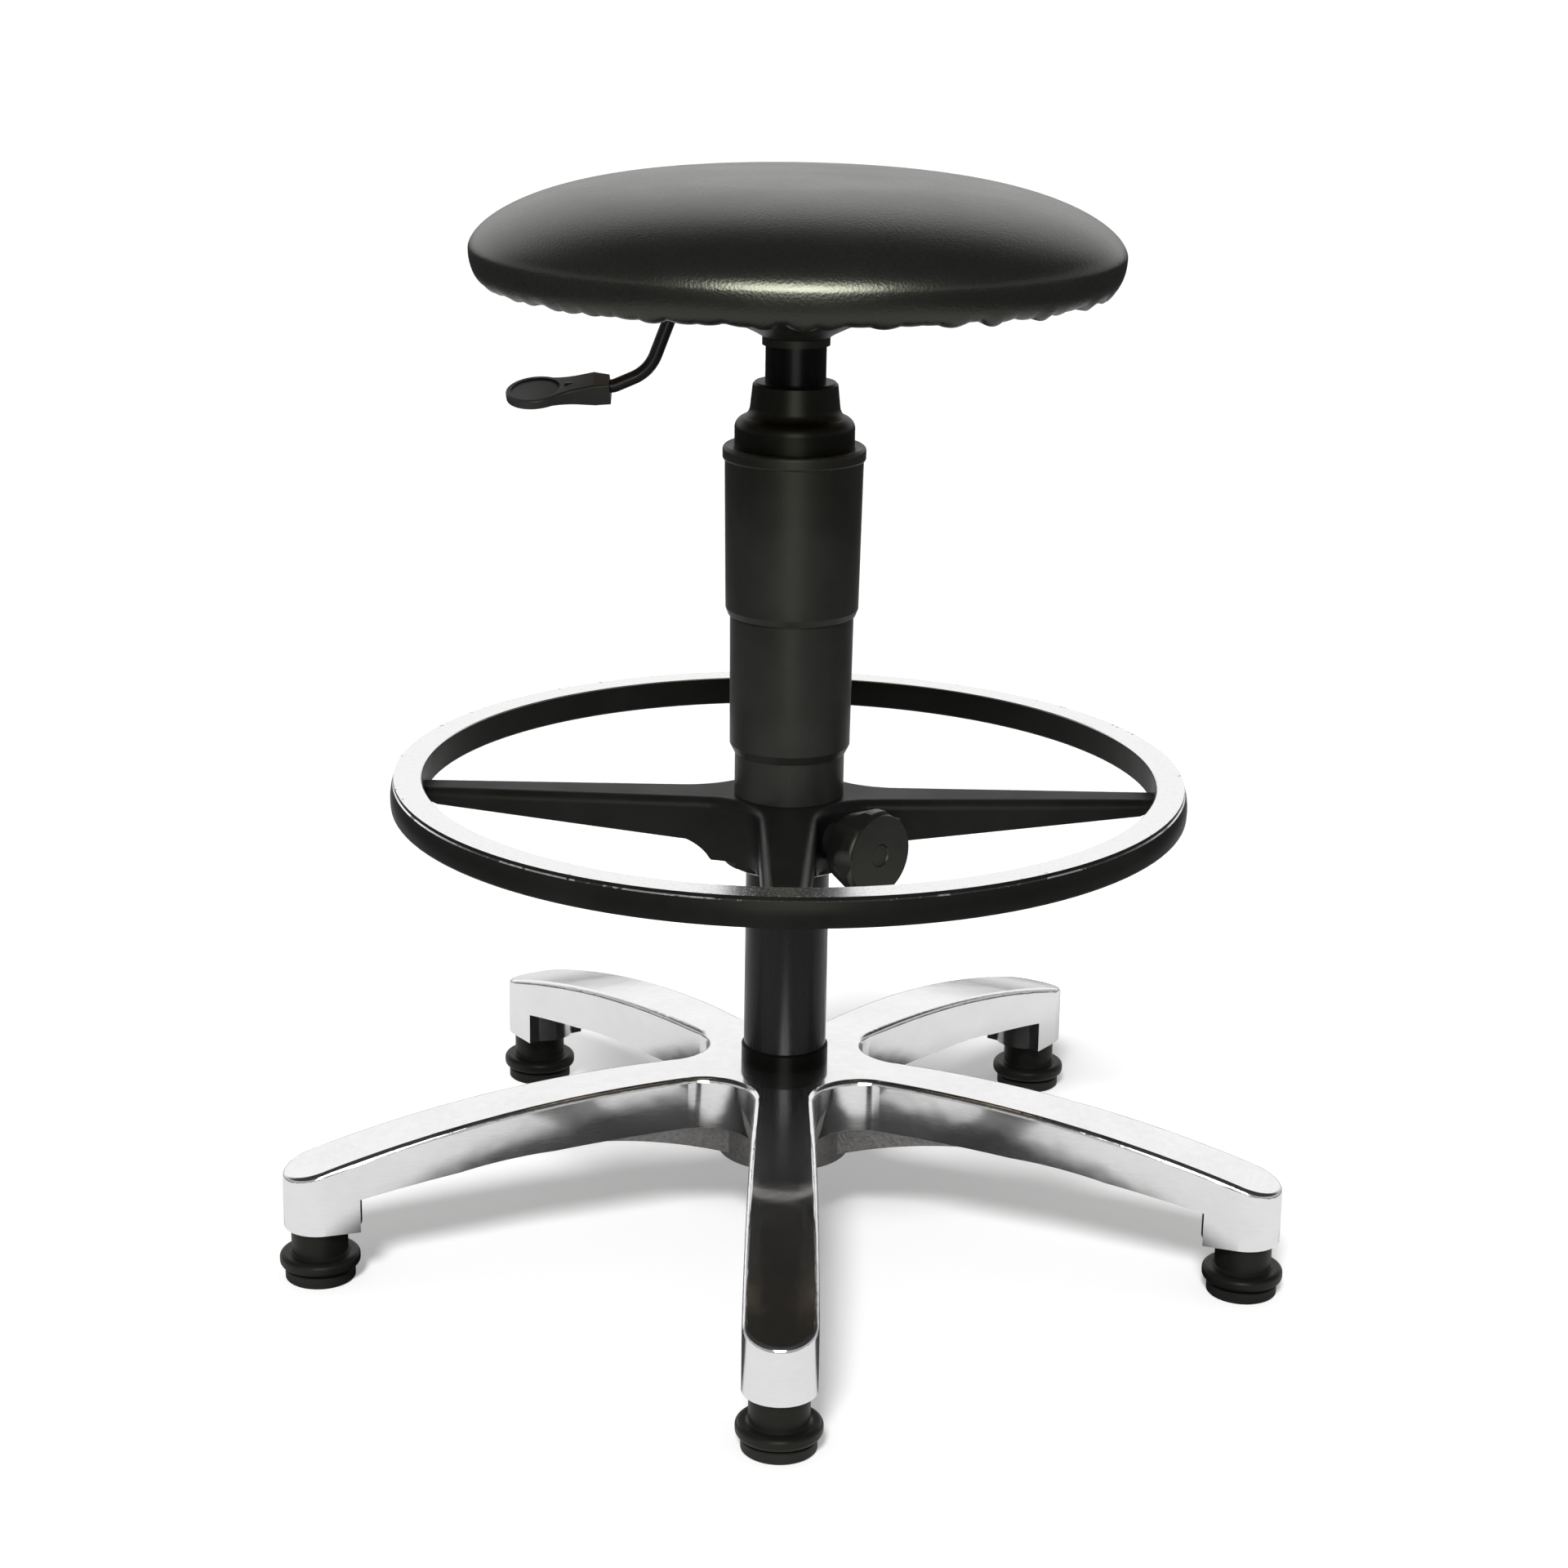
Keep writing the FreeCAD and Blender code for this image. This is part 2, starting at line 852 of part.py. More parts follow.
def stand_tube():
    """Outer tube of the gas lift, with a floor that the rod's end passes through."""
    body = new_body("stand_tube")
    revolve(
        body,
        "tube",
        [
            (tip_bore, tube_low),
            (s.tube_radius, tube_low),
            (s.tube_radius, tube_high),
            (tube_bore, tube_high),
            (tube_bore, race_low),
            (tip_bore, race_low),
        ],
    )
    return body


def tube_bush():
    """Guide bush in the mouth of the stand tube."""
    bore = s.press_tube_radius + s.running_gap
    return ring("tube_bush", bore, tube_bore, tube_high - s.bush_length, tube_high)


def piston_rod():
    """Rod with a thinner end held under the tube's floor by a clip."""
    body = new_body("piston_rod")
    groove = s.rod_tip_radius - s.stem_groove
    revolve(
        body,
        "rod",
        [
            (0, tube_low - s.rod_tip_drop),
            (s.rod_tip_radius, tube_low - s.rod_tip_drop),
            (s.rod_tip_radius, tube_low - s.clip_height),
            (groove, tube_low - s.clip_height),
            (groove, tube_low),
            (s.rod_tip_radius, tube_low),
            (s.rod_tip_radius, shoulder),
            (s.rod_radius, shoulder),
            (s.rod_radius, piston_high),
            (0, piston_high),
        ],
    )
    return body


def rod_clip():
    bore = s.rod_tip_radius - s.stem_groove
    return ring("rod_clip", bore, s.clip_radius, tube_low - s.clip_height, tube_low)


def piston():
    radius = press_bore - s.loose_gap
    return ring("piston", s.rod_radius, radius, piston_low, piston_high)


def thrust_parts():
    """Two races and the bearing between them, which let the column turn on the tube's floor."""
    bearing_low = race_low + s.washer_height
    upper_low = bearing_low + s.bearing_height
    return [
        ring("lower_race", tip_bore, s.washer_radius, race_low, bearing_low),
        ring("thrust_bearing", tip_bore, s.washer_radius - 1, bearing_low, upper_low),
        ring("upper_race", tip_bore, s.washer_radius, upper_low, shoulder),
    ]


def bump_stop():
    """Rubber ring that the pressure tube lands on."""
    bore = s.rod_radius + s.seat_gap
    return ring("bump_stop", bore, s.stop_radius, shoulder, shoulder + s.stop_height)


def pressure_tube():
    """Inner tube of the gas lift, tapered into the seat's hub at its top."""
    return ring("pressure_tube", press_bore, s.press_tube_radius, press_low, press_high)


def tube_guide():
    """Seal and guide that close the pressure tube round the rod."""
    bore = s.rod_radius + s.loose_gap
    return ring("tube_guide", bore, press_bore, press_low, press_low + s.guide_length)


def valve_block():
    """Valve body in the pressure tube's top with a bore for the release pin."""
    bore = s.pin_radius + s.running_gap
    return ring("valve_block", bore, press_bore, press_high - s.valve_length, press_high)


def release_pin():
    """Button that opens the valve, with a domed end under the lever."""
    body = new_body("release_pin")
    crown = 0.8
    revolve(
        body,
        "pin",
        [
            (0, pin_high - s.pin_length),
            (s.pin_radius, pin_high - s.pin_length),
            (s.pin_radius, pin_high - crown),
            (s.pin_radius - crown, pin_high),
            (0, pin_high),
        ],
    )
    return body


# Telescopic covers


def lower_cover():
    """Lowest sleeve, gripping the tube at its foot."""
    body = new_body("lower_cover")
    high = cover_low + s.lower_cover_length
    revolve(
        body,
        "sleeve",
        [
            (s.tube_radius, cover_low),
            (s.lower_cover_radius, cover_low),
            (s.lower_cover_radius, high),
            (s.lower_cover_radius - s.cover_wall, high),
            (s.lower_cover_radius - s.cover_wall, cover_low + s.cover_foot),
            (s.tube_radius, cover_low + s.cover_foot),
        ],
    )
    return body


def middle_cover():
    """Middle sleeve, with a lip at its foot that runs on the lowest sleeve."""
    body = new_body("middle_cover")
    lip = s.lower_cover_radius + s.loose_gap
    high = middle_low + s.middle_cover_length
    top_radius = s.middle_cover_radius + s.middle_cover_taper
    revolve(
        body,
        "sleeve",
        [
            (lip, middle_low),
            (s.middle_cover_radius - s.cover_chamfer / 2, middle_low),
            (s.middle_cover_radius, middle_low + s.cover_chamfer),
            (top_radius, high),
            (top_radius - s.cover_wall, high),
            (s.middle_cover_radius - s.cover_wall, middle_low + s.cover_chamfer + s.cover_foot),
            (lip, middle_low + s.cover_chamfer),
        ],
    )
    return body


def upper_cover():
    """Top sleeve with a rolled rim and a ledge that the cap hangs from."""
    body = new_body("upper_cover")
    lip = s.middle_cover_radius + s.middle_cover_taper + s.loose_gap
    top_radius = s.upper_cover_radius + s.upper_cover_taper
    rim_low = rim_high - s.rim_height
    edge = s.cap_radius + s.seat_gap
    ledge = rim_high - s.ledge_height
    revolve(
        body,
        "sleeve",
        [
            (lip, upper_low),
            (s.upper_cover_radius - s.cover_chamfer * 0.3, upper_low),
            (s.upper_cover_radius, upper_low + s.cover_chamfer * 0.8),
            (top_radius, rim_low),
            (s.rim_radius - s.rim_foot_width, rim_low + s.rim_foot_width),
            (s.rim_radius, rim_low + s.rim_foot_height),
            (s.rim_radius, rim_high - s.rim_crest_height),
            Bow(s.rim_height * 0.3, -1),
            (s.rim_radius - s.rim_crest_width, rim_high),
            (edge, rim_high - s.rim_dip),
            (edge, ledge),
            (top_radius - s.cover_wall, ledge),
            (s.upper_cover_radius - s.cover_wall, upper_low + s.cover_chamfer + s.cover_foot),
            (lip, upper_low + s.cover_chamfer),
        ],
    )
    return body


def cover_cap():
    """Stepped cap that closes the top sleeve round the spacer tube, held under the ledge by its flange."""
    body = new_body("cover_cap")
    flange_high = rim_high - s.ledge_height
    flange_low = flange_high - s.cap_flange_height
    wall = s.cap_wall
    shoulder_low = rim_high + s.cap_shoulder_height - s.cap_shoulder_drop
    middle_radius = (s.cap_shoulder_radius + s.cap_waist_radius) / 2 - s.cap_middle_inset
    middle_high = rim_high + s.cap_shoulder_height + s.cap_middle_rise
    waist_high = rim_high + s.cap_waist_height
    top_edge = s.cap_top_edge
    mouth = s.spacer_radius + s.seat_gap
    revolve(
        body,
        "cap",
        [
            (s.cap_radius - wall, flange_low),
            (s.cap_radius + s.cap_flange, flange_low),
            (s.cap_radius + s.cap_flange, flange_high),
            (s.cap_radius, flange_high),
            (s.cap_radius, shoulder_low),
            Bow(s.cap_shoulder_curve, -1),
            (middle_radius, middle_high),
            Bow(s.cap_flare_curve, 1),
            (s.cap_waist_radius, waist_high),
            (s.cap_top_radius, cap_high - top_edge),
            (s.cap_top_radius - top_edge, cap_high),
            (mouth, cap_high),
            (mouth, cap_high - wall),
            (s.cap_top_radius - wall, cap_high - wall),
            (s.cap_waist_radius - wall, waist_high),
            Bow(s.cap_flare_curve + wall, -1),
            (middle_radius - wall * 0.8, middle_high - wall * 0.7),
            Bow(s.cap_shoulder_curve - wall * 0.5, 1),
            (s.cap_radius - wall, shoulder_low - 0.5),
        ],
    )
    return body


def spacer_tube():
    """Tube between the cap and the seat's hub, with a flange under the cap."""
    body = new_body("spacer_tube")
    bore = s.press_tube_radius + s.loose_gap
    flange_high = cap_high - s.cap_wall
    flange_low = flange_high - s.spacer_flange
    low = cap_high - s.spacer_drop
    revolve(
        body,
        "spacer",
        [
            (bore, low),
            (s.spacer_radius, low),
            (s.spacer_radius, flange_low),
            (s.spacer_radius + s.spacer_flange, flange_low),
            (s.spacer_radius + s.spacer_flange, flange_high),
            (s.spacer_radius, flange_high),
            (s.spacer_radius, spacer_high),
            (bore, spacer_high),
        ],
    )
    return body


# Foot ring, modelled with the clamp along its own +X and then turned to its place

bush_bore = s.tube_radius + s.running_gap
bush_radius = bush_bore + s.ring_bush_wall
ring_bore = bush_radius + s.running_gap
ring_inner = s.ring_radius - s.ring_width
shoe_low = bush_radius + s.loose_gap
shoe_high = shoe_low + s.shoe_length
insert_high = s.clamp_boss_reach - s.seat_gap
insert_low = insert_high - s.insert_length
knob_low = s.clamp_boss_reach + s.knob_stand_off
knob_high = knob_low + s.knob_length
screw_high = knob_low + s.knob_length * 0.7


def turn_with_ring(body):
    """Turns a body to the ring's place, with its own X axis along the clamp."""
    place(body, rotation=about_z(s.ring_yaw.value))
    return body


def place_on_clamp(body):
    place(body, z=clamp_height, rotation=about_z(s.ring_yaw.value))
    return body


def ring_bush():
    """Nylon liner that slides on the column and carries the ring on its flange."""
    body = new_body("ring_bush")
    flange_high = hub_bottom - s.loose_gap
    flange_low = flange_high - s.ring_bush_flange
    revolve(
        body,
        "liner",
        [
            (bush_bore, flange_low),
            (bush_radius + s.ring_bush_flange_width, flange_low),
            (bush_radius + s.ring_bush_flange_width, flange_high),
            (bush_radius, flange_high),
            (bush_radius, s.ring_hub_top - s.loose_gap),
            (bush_bore, s.ring_hub_top - s.loose_gap),
        ],
    )
    return body


def foot_ring():
    """One casting: a rim with a machined top, four spokes that flare into the hub, and the clamp's boss."""
    body = new_body("foot_ring")
    spoke_end = ring_inner + s.ring_width / 3
    end_high = s.ring_hub_top + s.spoke_rise
    spoke = extrude(
        body,
        "spoke",
        [
            (0, -s.spoke_root_half_width),
            (spoke_end, -s.spoke_end_half_width),
            (spoke_end, s.spoke_end_half_width),
            (0, s.spoke_root_half_width),
        ],
        hub_bottom,
        end_high + 1,
        turn=180 / s.spoke_count.value,
    )
    repeat(body, [spoke], s.spoke_count)

    near = s.spoke_root_half_width.value * 2

    def is_valley(edge):
        point = middle(edge)
        upright = abs(edge.tangentAt(edge.FirstParameter).z) > 0.99
        return upright and math.hypot(point.x, point.y) < near

    def back_valley(edge):
        point = middle(edge)
        return is_valley(edge) and point.y > point.x

    def front_valley(edge):
        point = middle(edge)
        return is_valley(edge) and point.y < point.x

    soften(body, "back_valleys", back_valley, s.back_valley_radius)
    soften(body, "front_valleys", front_valley, s.front_valley_radius)
    beyond = spoke_end + s.ring_width
    rise_there = s.spoke_rise * (beyond - s.ring_hub_radius) / (spoke_end - s.ring_hub_radius)
    revolve(
        body,
        "spoke_tops",
        [
            (0, s.ring_hub_top),
            (s.ring_hub_radius, s.ring_hub_top),
            (beyond, s.ring_hub_top + rise_there),
            (beyond, end_high + 2),
            (0, end_high + 2),
        ],
        cut=True,
    )
    step_low = hub_bottom - 1
    spoke_root_low = s.ring_hub_top - s.spoke_mid_depth
    heel_low = s.ring_hub_top - s.spoke_heel_depth
    revolve(
        body,
        "spoke_undersides",
        [
            (s.ring_hub_skirt, step_low),
            (beyond, step_low),
            (beyond, ring_low),
            (ring_inner, ring_low),
            (ring_inner - s.spoke_toe, s.ring_hub_top - s.spoke_end_depth),
            (s.ring_hub_step, spoke_root_low),
            Bow(s.ring_step_curve, -1),
            (s.spoke_heel_reach, heel_low),
            (s.ring_hub_skirt, heel_low),
        ],
        cut=True,
    )

    def top_at(radius):
        share = max(radius - s.ring_hub_radius.value, 0) / (spoke_end - s.ring_hub_radius).value
        return s.ring_hub_top.value + s.spoke_rise.value * share

    seam = s.ring_hub_radius.value
    limit = spoke_end.value * math.cos(math.radians(4)) - 1

    def top_edge(edge):
        points = [v.Point for v in edge.Vertexes] + [middle(edge)]
        on_top = all(abs(p.z - top_at(math.hypot(p.x, p.y))) < 0.02 for p in points)
        on_seam = all(abs(math.hypot(p.x, p.y) - seam) < 0.02 for p in points)
        return on_top and not on_seam and math.hypot(points[-1].x, points[-1].y) < limit

    soften(body, "spoke_edges", top_edge, s.spoke_edge_round)

    bead_low = ring_high - s.ring_bead
    bead_radius = s.ring_radius - s.ring_top_draft
    shelf = bead_radius - s.ring_bead_step
    side = s.ring_radius - s.ring_side_draft
    revolve(
        body,
        "rim",
        [
            (ring_inner + s.ring_chamfer, ring_low),
            (side - s.ring_foot_round, ring_low),
            Bow(s.ring_foot_round, -1),
            (side, ring_low + s.ring_foot_round),
            Bow(s.ring_bulge, -1),
            (bead_radius, bead_low),
            (shelf, bead_low + s.ring_bead_step),
            (shelf, ring_high),
            (ring_inner + s.ring_chamfer, ring_high),
            (ring_inner, ring_high - s.ring_chamfer),
            (ring_inner, ring_low + s.ring_chamfer),
        ],
    )
    revolve(
        body,
        "clamp_boss",
        [
            (s.tube_radius, 0),
            (s.clamp_boss_reach, 0),
            (s.clamp_boss_reach, s.clamp_boss_radius - 1),
            (s.clamp_boss_reach - 1, s.clamp_boss_radius),
            (s.tube_radius, s.clamp_boss_radius),
        ],
        axis="H_Axis",
        shift=(0, clamp_height, 0),
    )
    bore_low = hub_bottom - 1
    bore_high = s.ring_hub_top + 1
    revolve(
        body,
        "hub_bore",
        [(0, bore_low), (ring_bore, bore_low), (ring_bore, bore_high), (0, bore_high)],
        cut=True,
    )
    revolve(
        body,
        "clamp_bore",
        [
            (s.tube_radius, 0),
            (s.clamp_boss_reach + 1, 0),
            (s.clamp_boss_reach + 1, s.insert_radius),
            (insert_low, s.insert_radius),
            (insert_low, s.shoe_radius + s.loose_gap),
            (s.tube_radius, s.shoe_radius + s.loose_gap),
        ],
        cut=True,
        axis="H_Axis",
        shift=(0, clamp_height, 0),
    )
    return turn_with_ring(body)


def screw_insert():
    """Threaded insert pressed into the clamp's boss."""
    body = new_body("screw_insert")
    bore = s.screw_radius + s.seat_gap
    radius = s.insert_radius
    revolve(
        body,
        "insert",
        [(insert_low, bore), (insert_high, bore), (insert_high, radius), (insert_low, radius)],
        axis="H_Axis",
    )
    return place_on_clamp(body)


def clamp_shoe():
    """Pressure shoe with a socket for the screw's tip."""
    body = new_body("clamp_shoe")
    socket = s.screw_tip_radius + s.loose_gap
    socket_low = shoe_high - s.screw_tip_length - s.loose_gap
    revolve(
        body,
        "shoe",
        [
            (shoe_low, 0),
            (socket_low, 0),
            (socket_low, socket),
            (shoe_high, socket),
            (shoe_high, s.shoe_radius),
            (shoe_low, s.shoe_radius),
        ],
        axis="H_Axis",
    )
    return place_on_clamp(body)


def clamp_screw():
    """Screw of the clamp knob, with a thinner tip in the shoe."""
    body = new_body("clamp_screw")
    step = shoe_high + s.loose_gap
    revolve(
        body,
        "screw",
        [
            (shoe_high - s.screw_tip_length, 0),
            (screw_high, 0),
            (screw_high, s.screw_radius),
            (step, s.screw_radius),
            (step, s.screw_tip_radius),
            (shoe_high - s.screw_tip_length, s.screw_tip_radius),
        ],
        axis="H_Axis",
    )
    return place_on_clamp(body)


def clamp_knob():
    """Moulded knob with shallow flutes and a ring-shaped dimple in its face."""
    body = new_body("clamp_knob")
    dimple = knob_high - s.knob_dimple_depth
    revolve(
        body,
        "knob",
        [
            (knob_low, s.screw_radius),
            (screw_high, s.screw_radius),
            (screw_high, 0),
            (dimple, 0),
            (dimple, s.knob_dimple_radius - s.knob_dimple_depth),
            (knob_high, s.knob_dimple_radius),
            (knob_high, s.knob_radius - s.knob_edge),
            Bow(s.knob_edge * 1.5, 1),
            (knob_high - s.knob_edge, s.knob_radius),
            (knob_high - s.knob_grip_depth, s.knob_radius),
            (knob_low + s.knob_edge / 2, s.knob_back_radius),
            (knob_low, s.knob_back_radius - s.knob_edge / 2),
        ],
        axis="H_Axis",
    )
    flute = extrude(
        body,
        "flute",
        Disc(s.knob_radius + s.knob_flute_radius - s.knob_flute_depth, 0, s.knob_flute_radius),
        knob_low - 1,
        knob_high + 1,
        cut=True,
        role="YZ_Plane",
    )
    repeat(body, [flute], s.knob_flutes, role="X_Axis")
    return place_on_clamp(body)


# Seat carrier


def hub_sleeve():
    """Thick sleeve that the pressure tube plugs into, with a rim at its foot."""
    body = new_body("hub_sleeve")
    high = hub_low + s.hub_sleeve_height
    revolve(
        body,
        "sleeve",
        [
            (s.press_tube_radius, hub_low),
            (s.hub_rim_radius, hub_low),
            (s.hub_rim_radius, hub_low + s.hub_rim_height),
            (s.hub_sleeve_radius, hub_low + s.hub_rim_height),
            (s.hub_sleeve_radius, high),
            (s.press_tube_radius, high),
        ],
    )
    return body


def seat_bell():
    """Pressed dish welded between the sleeve and the seat plate, with a slot for the lever."""
    body = new_body("seat_bell")
    low = hub_low + s.hub_rim_height
    wall = s.bell_wall
    revolve(
        body,
        "dish",
        [
            (s.hub_sleeve_radius, low),
            (s.bell_cone_radius, hub_low + s.bell_cone_height),
            (s.bell_radius, hub_low + s.bell_height),
            Bow(s.bell_curve, -1),
            (s.bell_top_radius, plate_low),
            (s.bell_top_radius - wall * 1.3, plate_low),
            Bow(s.bell_curve - wall, 1),
            (s.bell_radius - wall * 0.4, hub_low + s.bell_height + wall),
            (s.bell_cone_radius - wall * 0.4, hub_low + s.bell_cone_height + wall),
            (s.hub_sleeve_radius, low + wall * 1.2),
        ],
    )
    half = s.bell_slot_width / 2
    inner = -(s.bell_radius + s.bell_slot_start)
    outer = -(s.bell_top_radius + s.tip_clearance)
    extrude(
        body,
        "lever_slot",
        [(outer, -half), (inner, -half), (inner, half), (outer, half)],
        lever_height - s.lever_radius - s.bell_slot_below,
        plate_low + 1,
        cut=True,
    )
    return body


def fixing_spots():
    """Centres of the four seat fixings."""
    spots = []
    for index in range(round(s.fixing_count.value)):
        angle = (Size(360, "360") / s.fixing_count) * (Size(0.5, "0.5") + index)
        spots.append((s.fixing_circle * cosine(angle), s.fixing_circle * sine(angle)))
    return spots


def seat_plate():
    """Round steel plate screwed under the seat board."""
    body = new_body("seat_plate")
    revolve(
        body,
        "plate",
        [(0, plate_low), (s.plate_radius, plate_low), (s.plate_radius, board_low), (0, board_low)],
    )
    hole = extrude(
        body,
        "fixing_hole",
        Disc(s.fixing_circle, 0, s.fixing_radius + s.loose_gap),
        plate_low - 1,
        board_low + 1,
        cut=True,
        turn=180 / s.fixing_count.value,
    )
    repeat(body, [hole], s.fixing_count)
    return body


def lever_bracket():
    """Folded bracket under the plate whose two ears carry the lever's pin."""
    body = new_body("lever_bracket")
    inner = s.ear_gap
    outer = s.ear_gap + s.ear_thickness
    low = lever_height - s.ear_width * 0.45
    web = plate_low - s.ear_thickness * 0.8
    extrude(
        body,
        "channel",
        [
            (-outer, low),
            (-inner, low),
            (-inner, web),
            (inner, web),
            (inner, low),
            (outer, low),
            (outer, plate_low),
            (-outer, plate_low),
        ],
        -(s.pivot_reach + s.ear_width / 2),
        -(s.pivot_reach - s.ear_width / 2),
        role="YZ_Plane",
    )
    extrude(
        body,
        "pin_hole",
        Disc(-s.pivot_reach, lever_height, s.pivot_pin_radius),
        -(outer + 1),
        outer + 1,
        cut=True,
        role="XZ_Plane",
    )
    return body


def lever_pin():
    """Pin across the bracket's ears."""
    body = new_body("lever_pin")
    reach = s.ear_gap + s.ear_thickness + s.pin_end
    outline = Disc(-s.pivot_reach, lever_height, s.pivot_pin_radius)
    extrude(body, "pin", outline, -reach, reach, role="XZ_Plane")
    return body


def group(label, bodies):
    """Several equal fasteners as one sub-part."""
    together = doc.addObject("Part::Compound", label)
    together.Label = label
    together.Links = bodies
    doc.recompute()
    return together


def seat_screws():
    """Screws that hold the plate to the board, heads down."""
    bodies = []
    head_high = plate_low - s.fixing_washer_height
    for index, (x, y) in enumerate(fixing_spots(), start=1):
        body = new_body(f"seat_screw_{index}")
        socket = s.fixing_radius * 0.8
        revolve(
            body,
            "screw",
            [
                (0, head_high - s.fixing_head_height + 1.8),
                (socket, head_high - s.fixing_head_height + 1.8),
                (socket, head_high - s.fixing_head_height),
                (s.fixing_head_radius - 1, head_high - s.fixing_head_height),
                (s.fixing_head_radius, head_high - s.fixing_head_height + 1),
                (s.fixing_head_radius, head_high),
                (s.fixing_radius, head_high),
                (s.fixing_radius, board_low + s.board_height - 1),
                (0, board_low + s.board_height - 1),
            ],
        )
        place(body, x, y)
        bodies.append(body)
    return group("seat_screws", bodies)


def seat_washers():
    bodies = []
    bore = s.fixing_radius + s.loose_gap
    low = plate_low - s.fixing_washer_height
    for index, (x, y) in enumerate(fixing_spots(), start=1):
        body = ring(f"seat_washer_{index}", bore, s.fixing_washer_radius, low, plate_low)
        place(body, x, y)
        bodies.append(body)
    return group("seat_washers", bodies)


def tee_nuts():
    """Nuts let into the board from above, each a barrel with a flange."""
    bodies = []
    high = board_low + s.board_height
    bore = s.fixing_radius + s.seat_gap
    for index, (x, y) in enumerate(fixing_spots(), start=1):
        body = new_body(f"tee_nut_{index}")
        revolve(
            body,
            "nut",
            [
                (bore, board_low + s.nut_foot),
                (s.nut_radius, board_low + s.nut_foot),
                (s.nut_radius, high - s.nut_flange_height),
                (s.nut_flange_radius, high - s.nut_flange_height),
                (s.nut_flange_radius, high),
                (bore, high),
            ],
        )
        place(body, x, y)
        bodies.append(body)
    return group("tee_nuts", bodies)


# Lever


def tangent_path(sketch, corners, bends):
    """Draws straight runs through the corners with an arc of each bend radius at the corner it rounds."""
    points = [V(x.value, y.value, 0) for x, y in corners]
    starts = [points[0]]
    arcs = []
    for i, bend in enumerate(bends, start=1):
        into = (points[i] - points[i - 1]).normalize()
        out = (points[i + 1] - points[i]).normalize()
        turn = into.getAngle(out)
        reach = bend.value * math.tan(turn / 2)
        first = points[i] - into * reach
        last = points[i] + out * reach
        centre = points[i] + (out - into).normalize() * (bend.value / math.cos(turn / 2))
        left_turn = into.cross(out).z > 0
        arcs.append((first, last, centre, left_turn))
        starts.append(last)
    runs = []
    for i in range(len(arcs) + 1):
        end = arcs[i][0] if i < len(arcs) else points[-1]
        runs.append(sketch.addGeometry(Part.LineSegment(starts[i], end), False))
    for i, (first, last, centre, left_turn) in enumerate(arcs):
        circle = Part.Circle(centre, V(0, 0, 1), bends[i].value)
        one = math.atan2(first.y - centre.y, first.x - centre.x)
        two = math.atan2(last.y - centre.y, last.x - centre.x)
        low, high = (one, two) if left_turn else (two, one)
        if high < low:
            high += 2 * math.pi
        geo = sketch.addGeometry(Part.ArcOfCircle(circle, low, high), False)
        near, far = (1, 2) if left_turn else (2, 1)
        sketch.addConstraint(Sketcher.Constraint("Tangent", runs[i], 2, geo, near))
        sketch.addConstraint(Sketcher.Constraint("Tangent", geo, far, runs[i + 1], 1))
        index = sketch.addConstraint(Sketcher.Constraint("Radius", geo, bends[i].value))
        bind(sketch, f"Constraints[{index}]", bends[i])
        corner = sketch.addGeometry(Part.Point(points[i + 1]), True)
        sketch.addConstraint(Sketcher.Constraint("PointOnObject", corner, 1, runs[i]))
        sketch.addConstraint(Sketcher.Constraint("PointOnObject", corner, 1, runs[i + 1]))
        pin(sketch, "DistanceX", corner, 1, corners[i + 1][0])
        pin(sketch, "DistanceY", corner, 1, corners[i + 1][1])
    for geo, end, corner in ((runs[0], 1, corners[0]), (runs[-1], 2, corners[-1])):
        pin(sketch, "DistanceX", geo, end, corner[0])
        pin(sketch, "DistanceY", geo, end, corner[1])


foot_height = lever_height - s.lever_foot_drop
entry_height = foot_height - s.lever_entry_drop


def slope_height(reach):
    """Height of the lever's sloping end at a distance from the column's axis."""
    return entry_height - (reach - s.lever_entry_reach) * sine(s.lever_slope) / cosine(s.lever_slope)


def lever_rod():
    """Bent steel rod with an eye for its pin."""
    body = new_body("lever_rod")
    path = sketch_on(body, "lever_path", "XZ_Plane")
    end_reach = s.paddle_start + s.lever_grip
    tangent_path(
        path,
        [
            (s.lever_inner_reach, lever_height),
            (-s.lever_knee_reach, lever_height),
            (-s.lever_foot_reach, foot_height),
            (-s.lever_entry_reach, entry_height),
            (-end_reach, slope_height(end_reach)),
        ],
        [s.knee_bend, s.foot_bend, s.entry_bend],
    )
    section = sketch_on(body, "lever_section", "YZ_Plane", (0, 0, s.lever_inner_reach))
    Disc(0, lever_height, s.lever_radius).draw(section)
    doc.recompute()
    pipe = add_feature(body, "AdditivePipe", "lever_pipe")
    pipe.Profile = section
    pipe.Spine = path
    doc.recompute()
    eye = s.ear_gap - s.loose_gap
    outline = Disc(-s.pivot_reach, lever_height, s.lever_radius + s.eye_wall)
    extrude(body, "eye", outline, -eye, eye, role="XZ_Plane")
    extrude(
        body,
        "eye_bore",
        Disc(-s.pivot_reach, lever_height, s.pivot_pin_radius + s.running_gap),
        -(eye + 1),
        eye + 1,
        cut=True,
        role="XZ_Plane",
    )
    return body


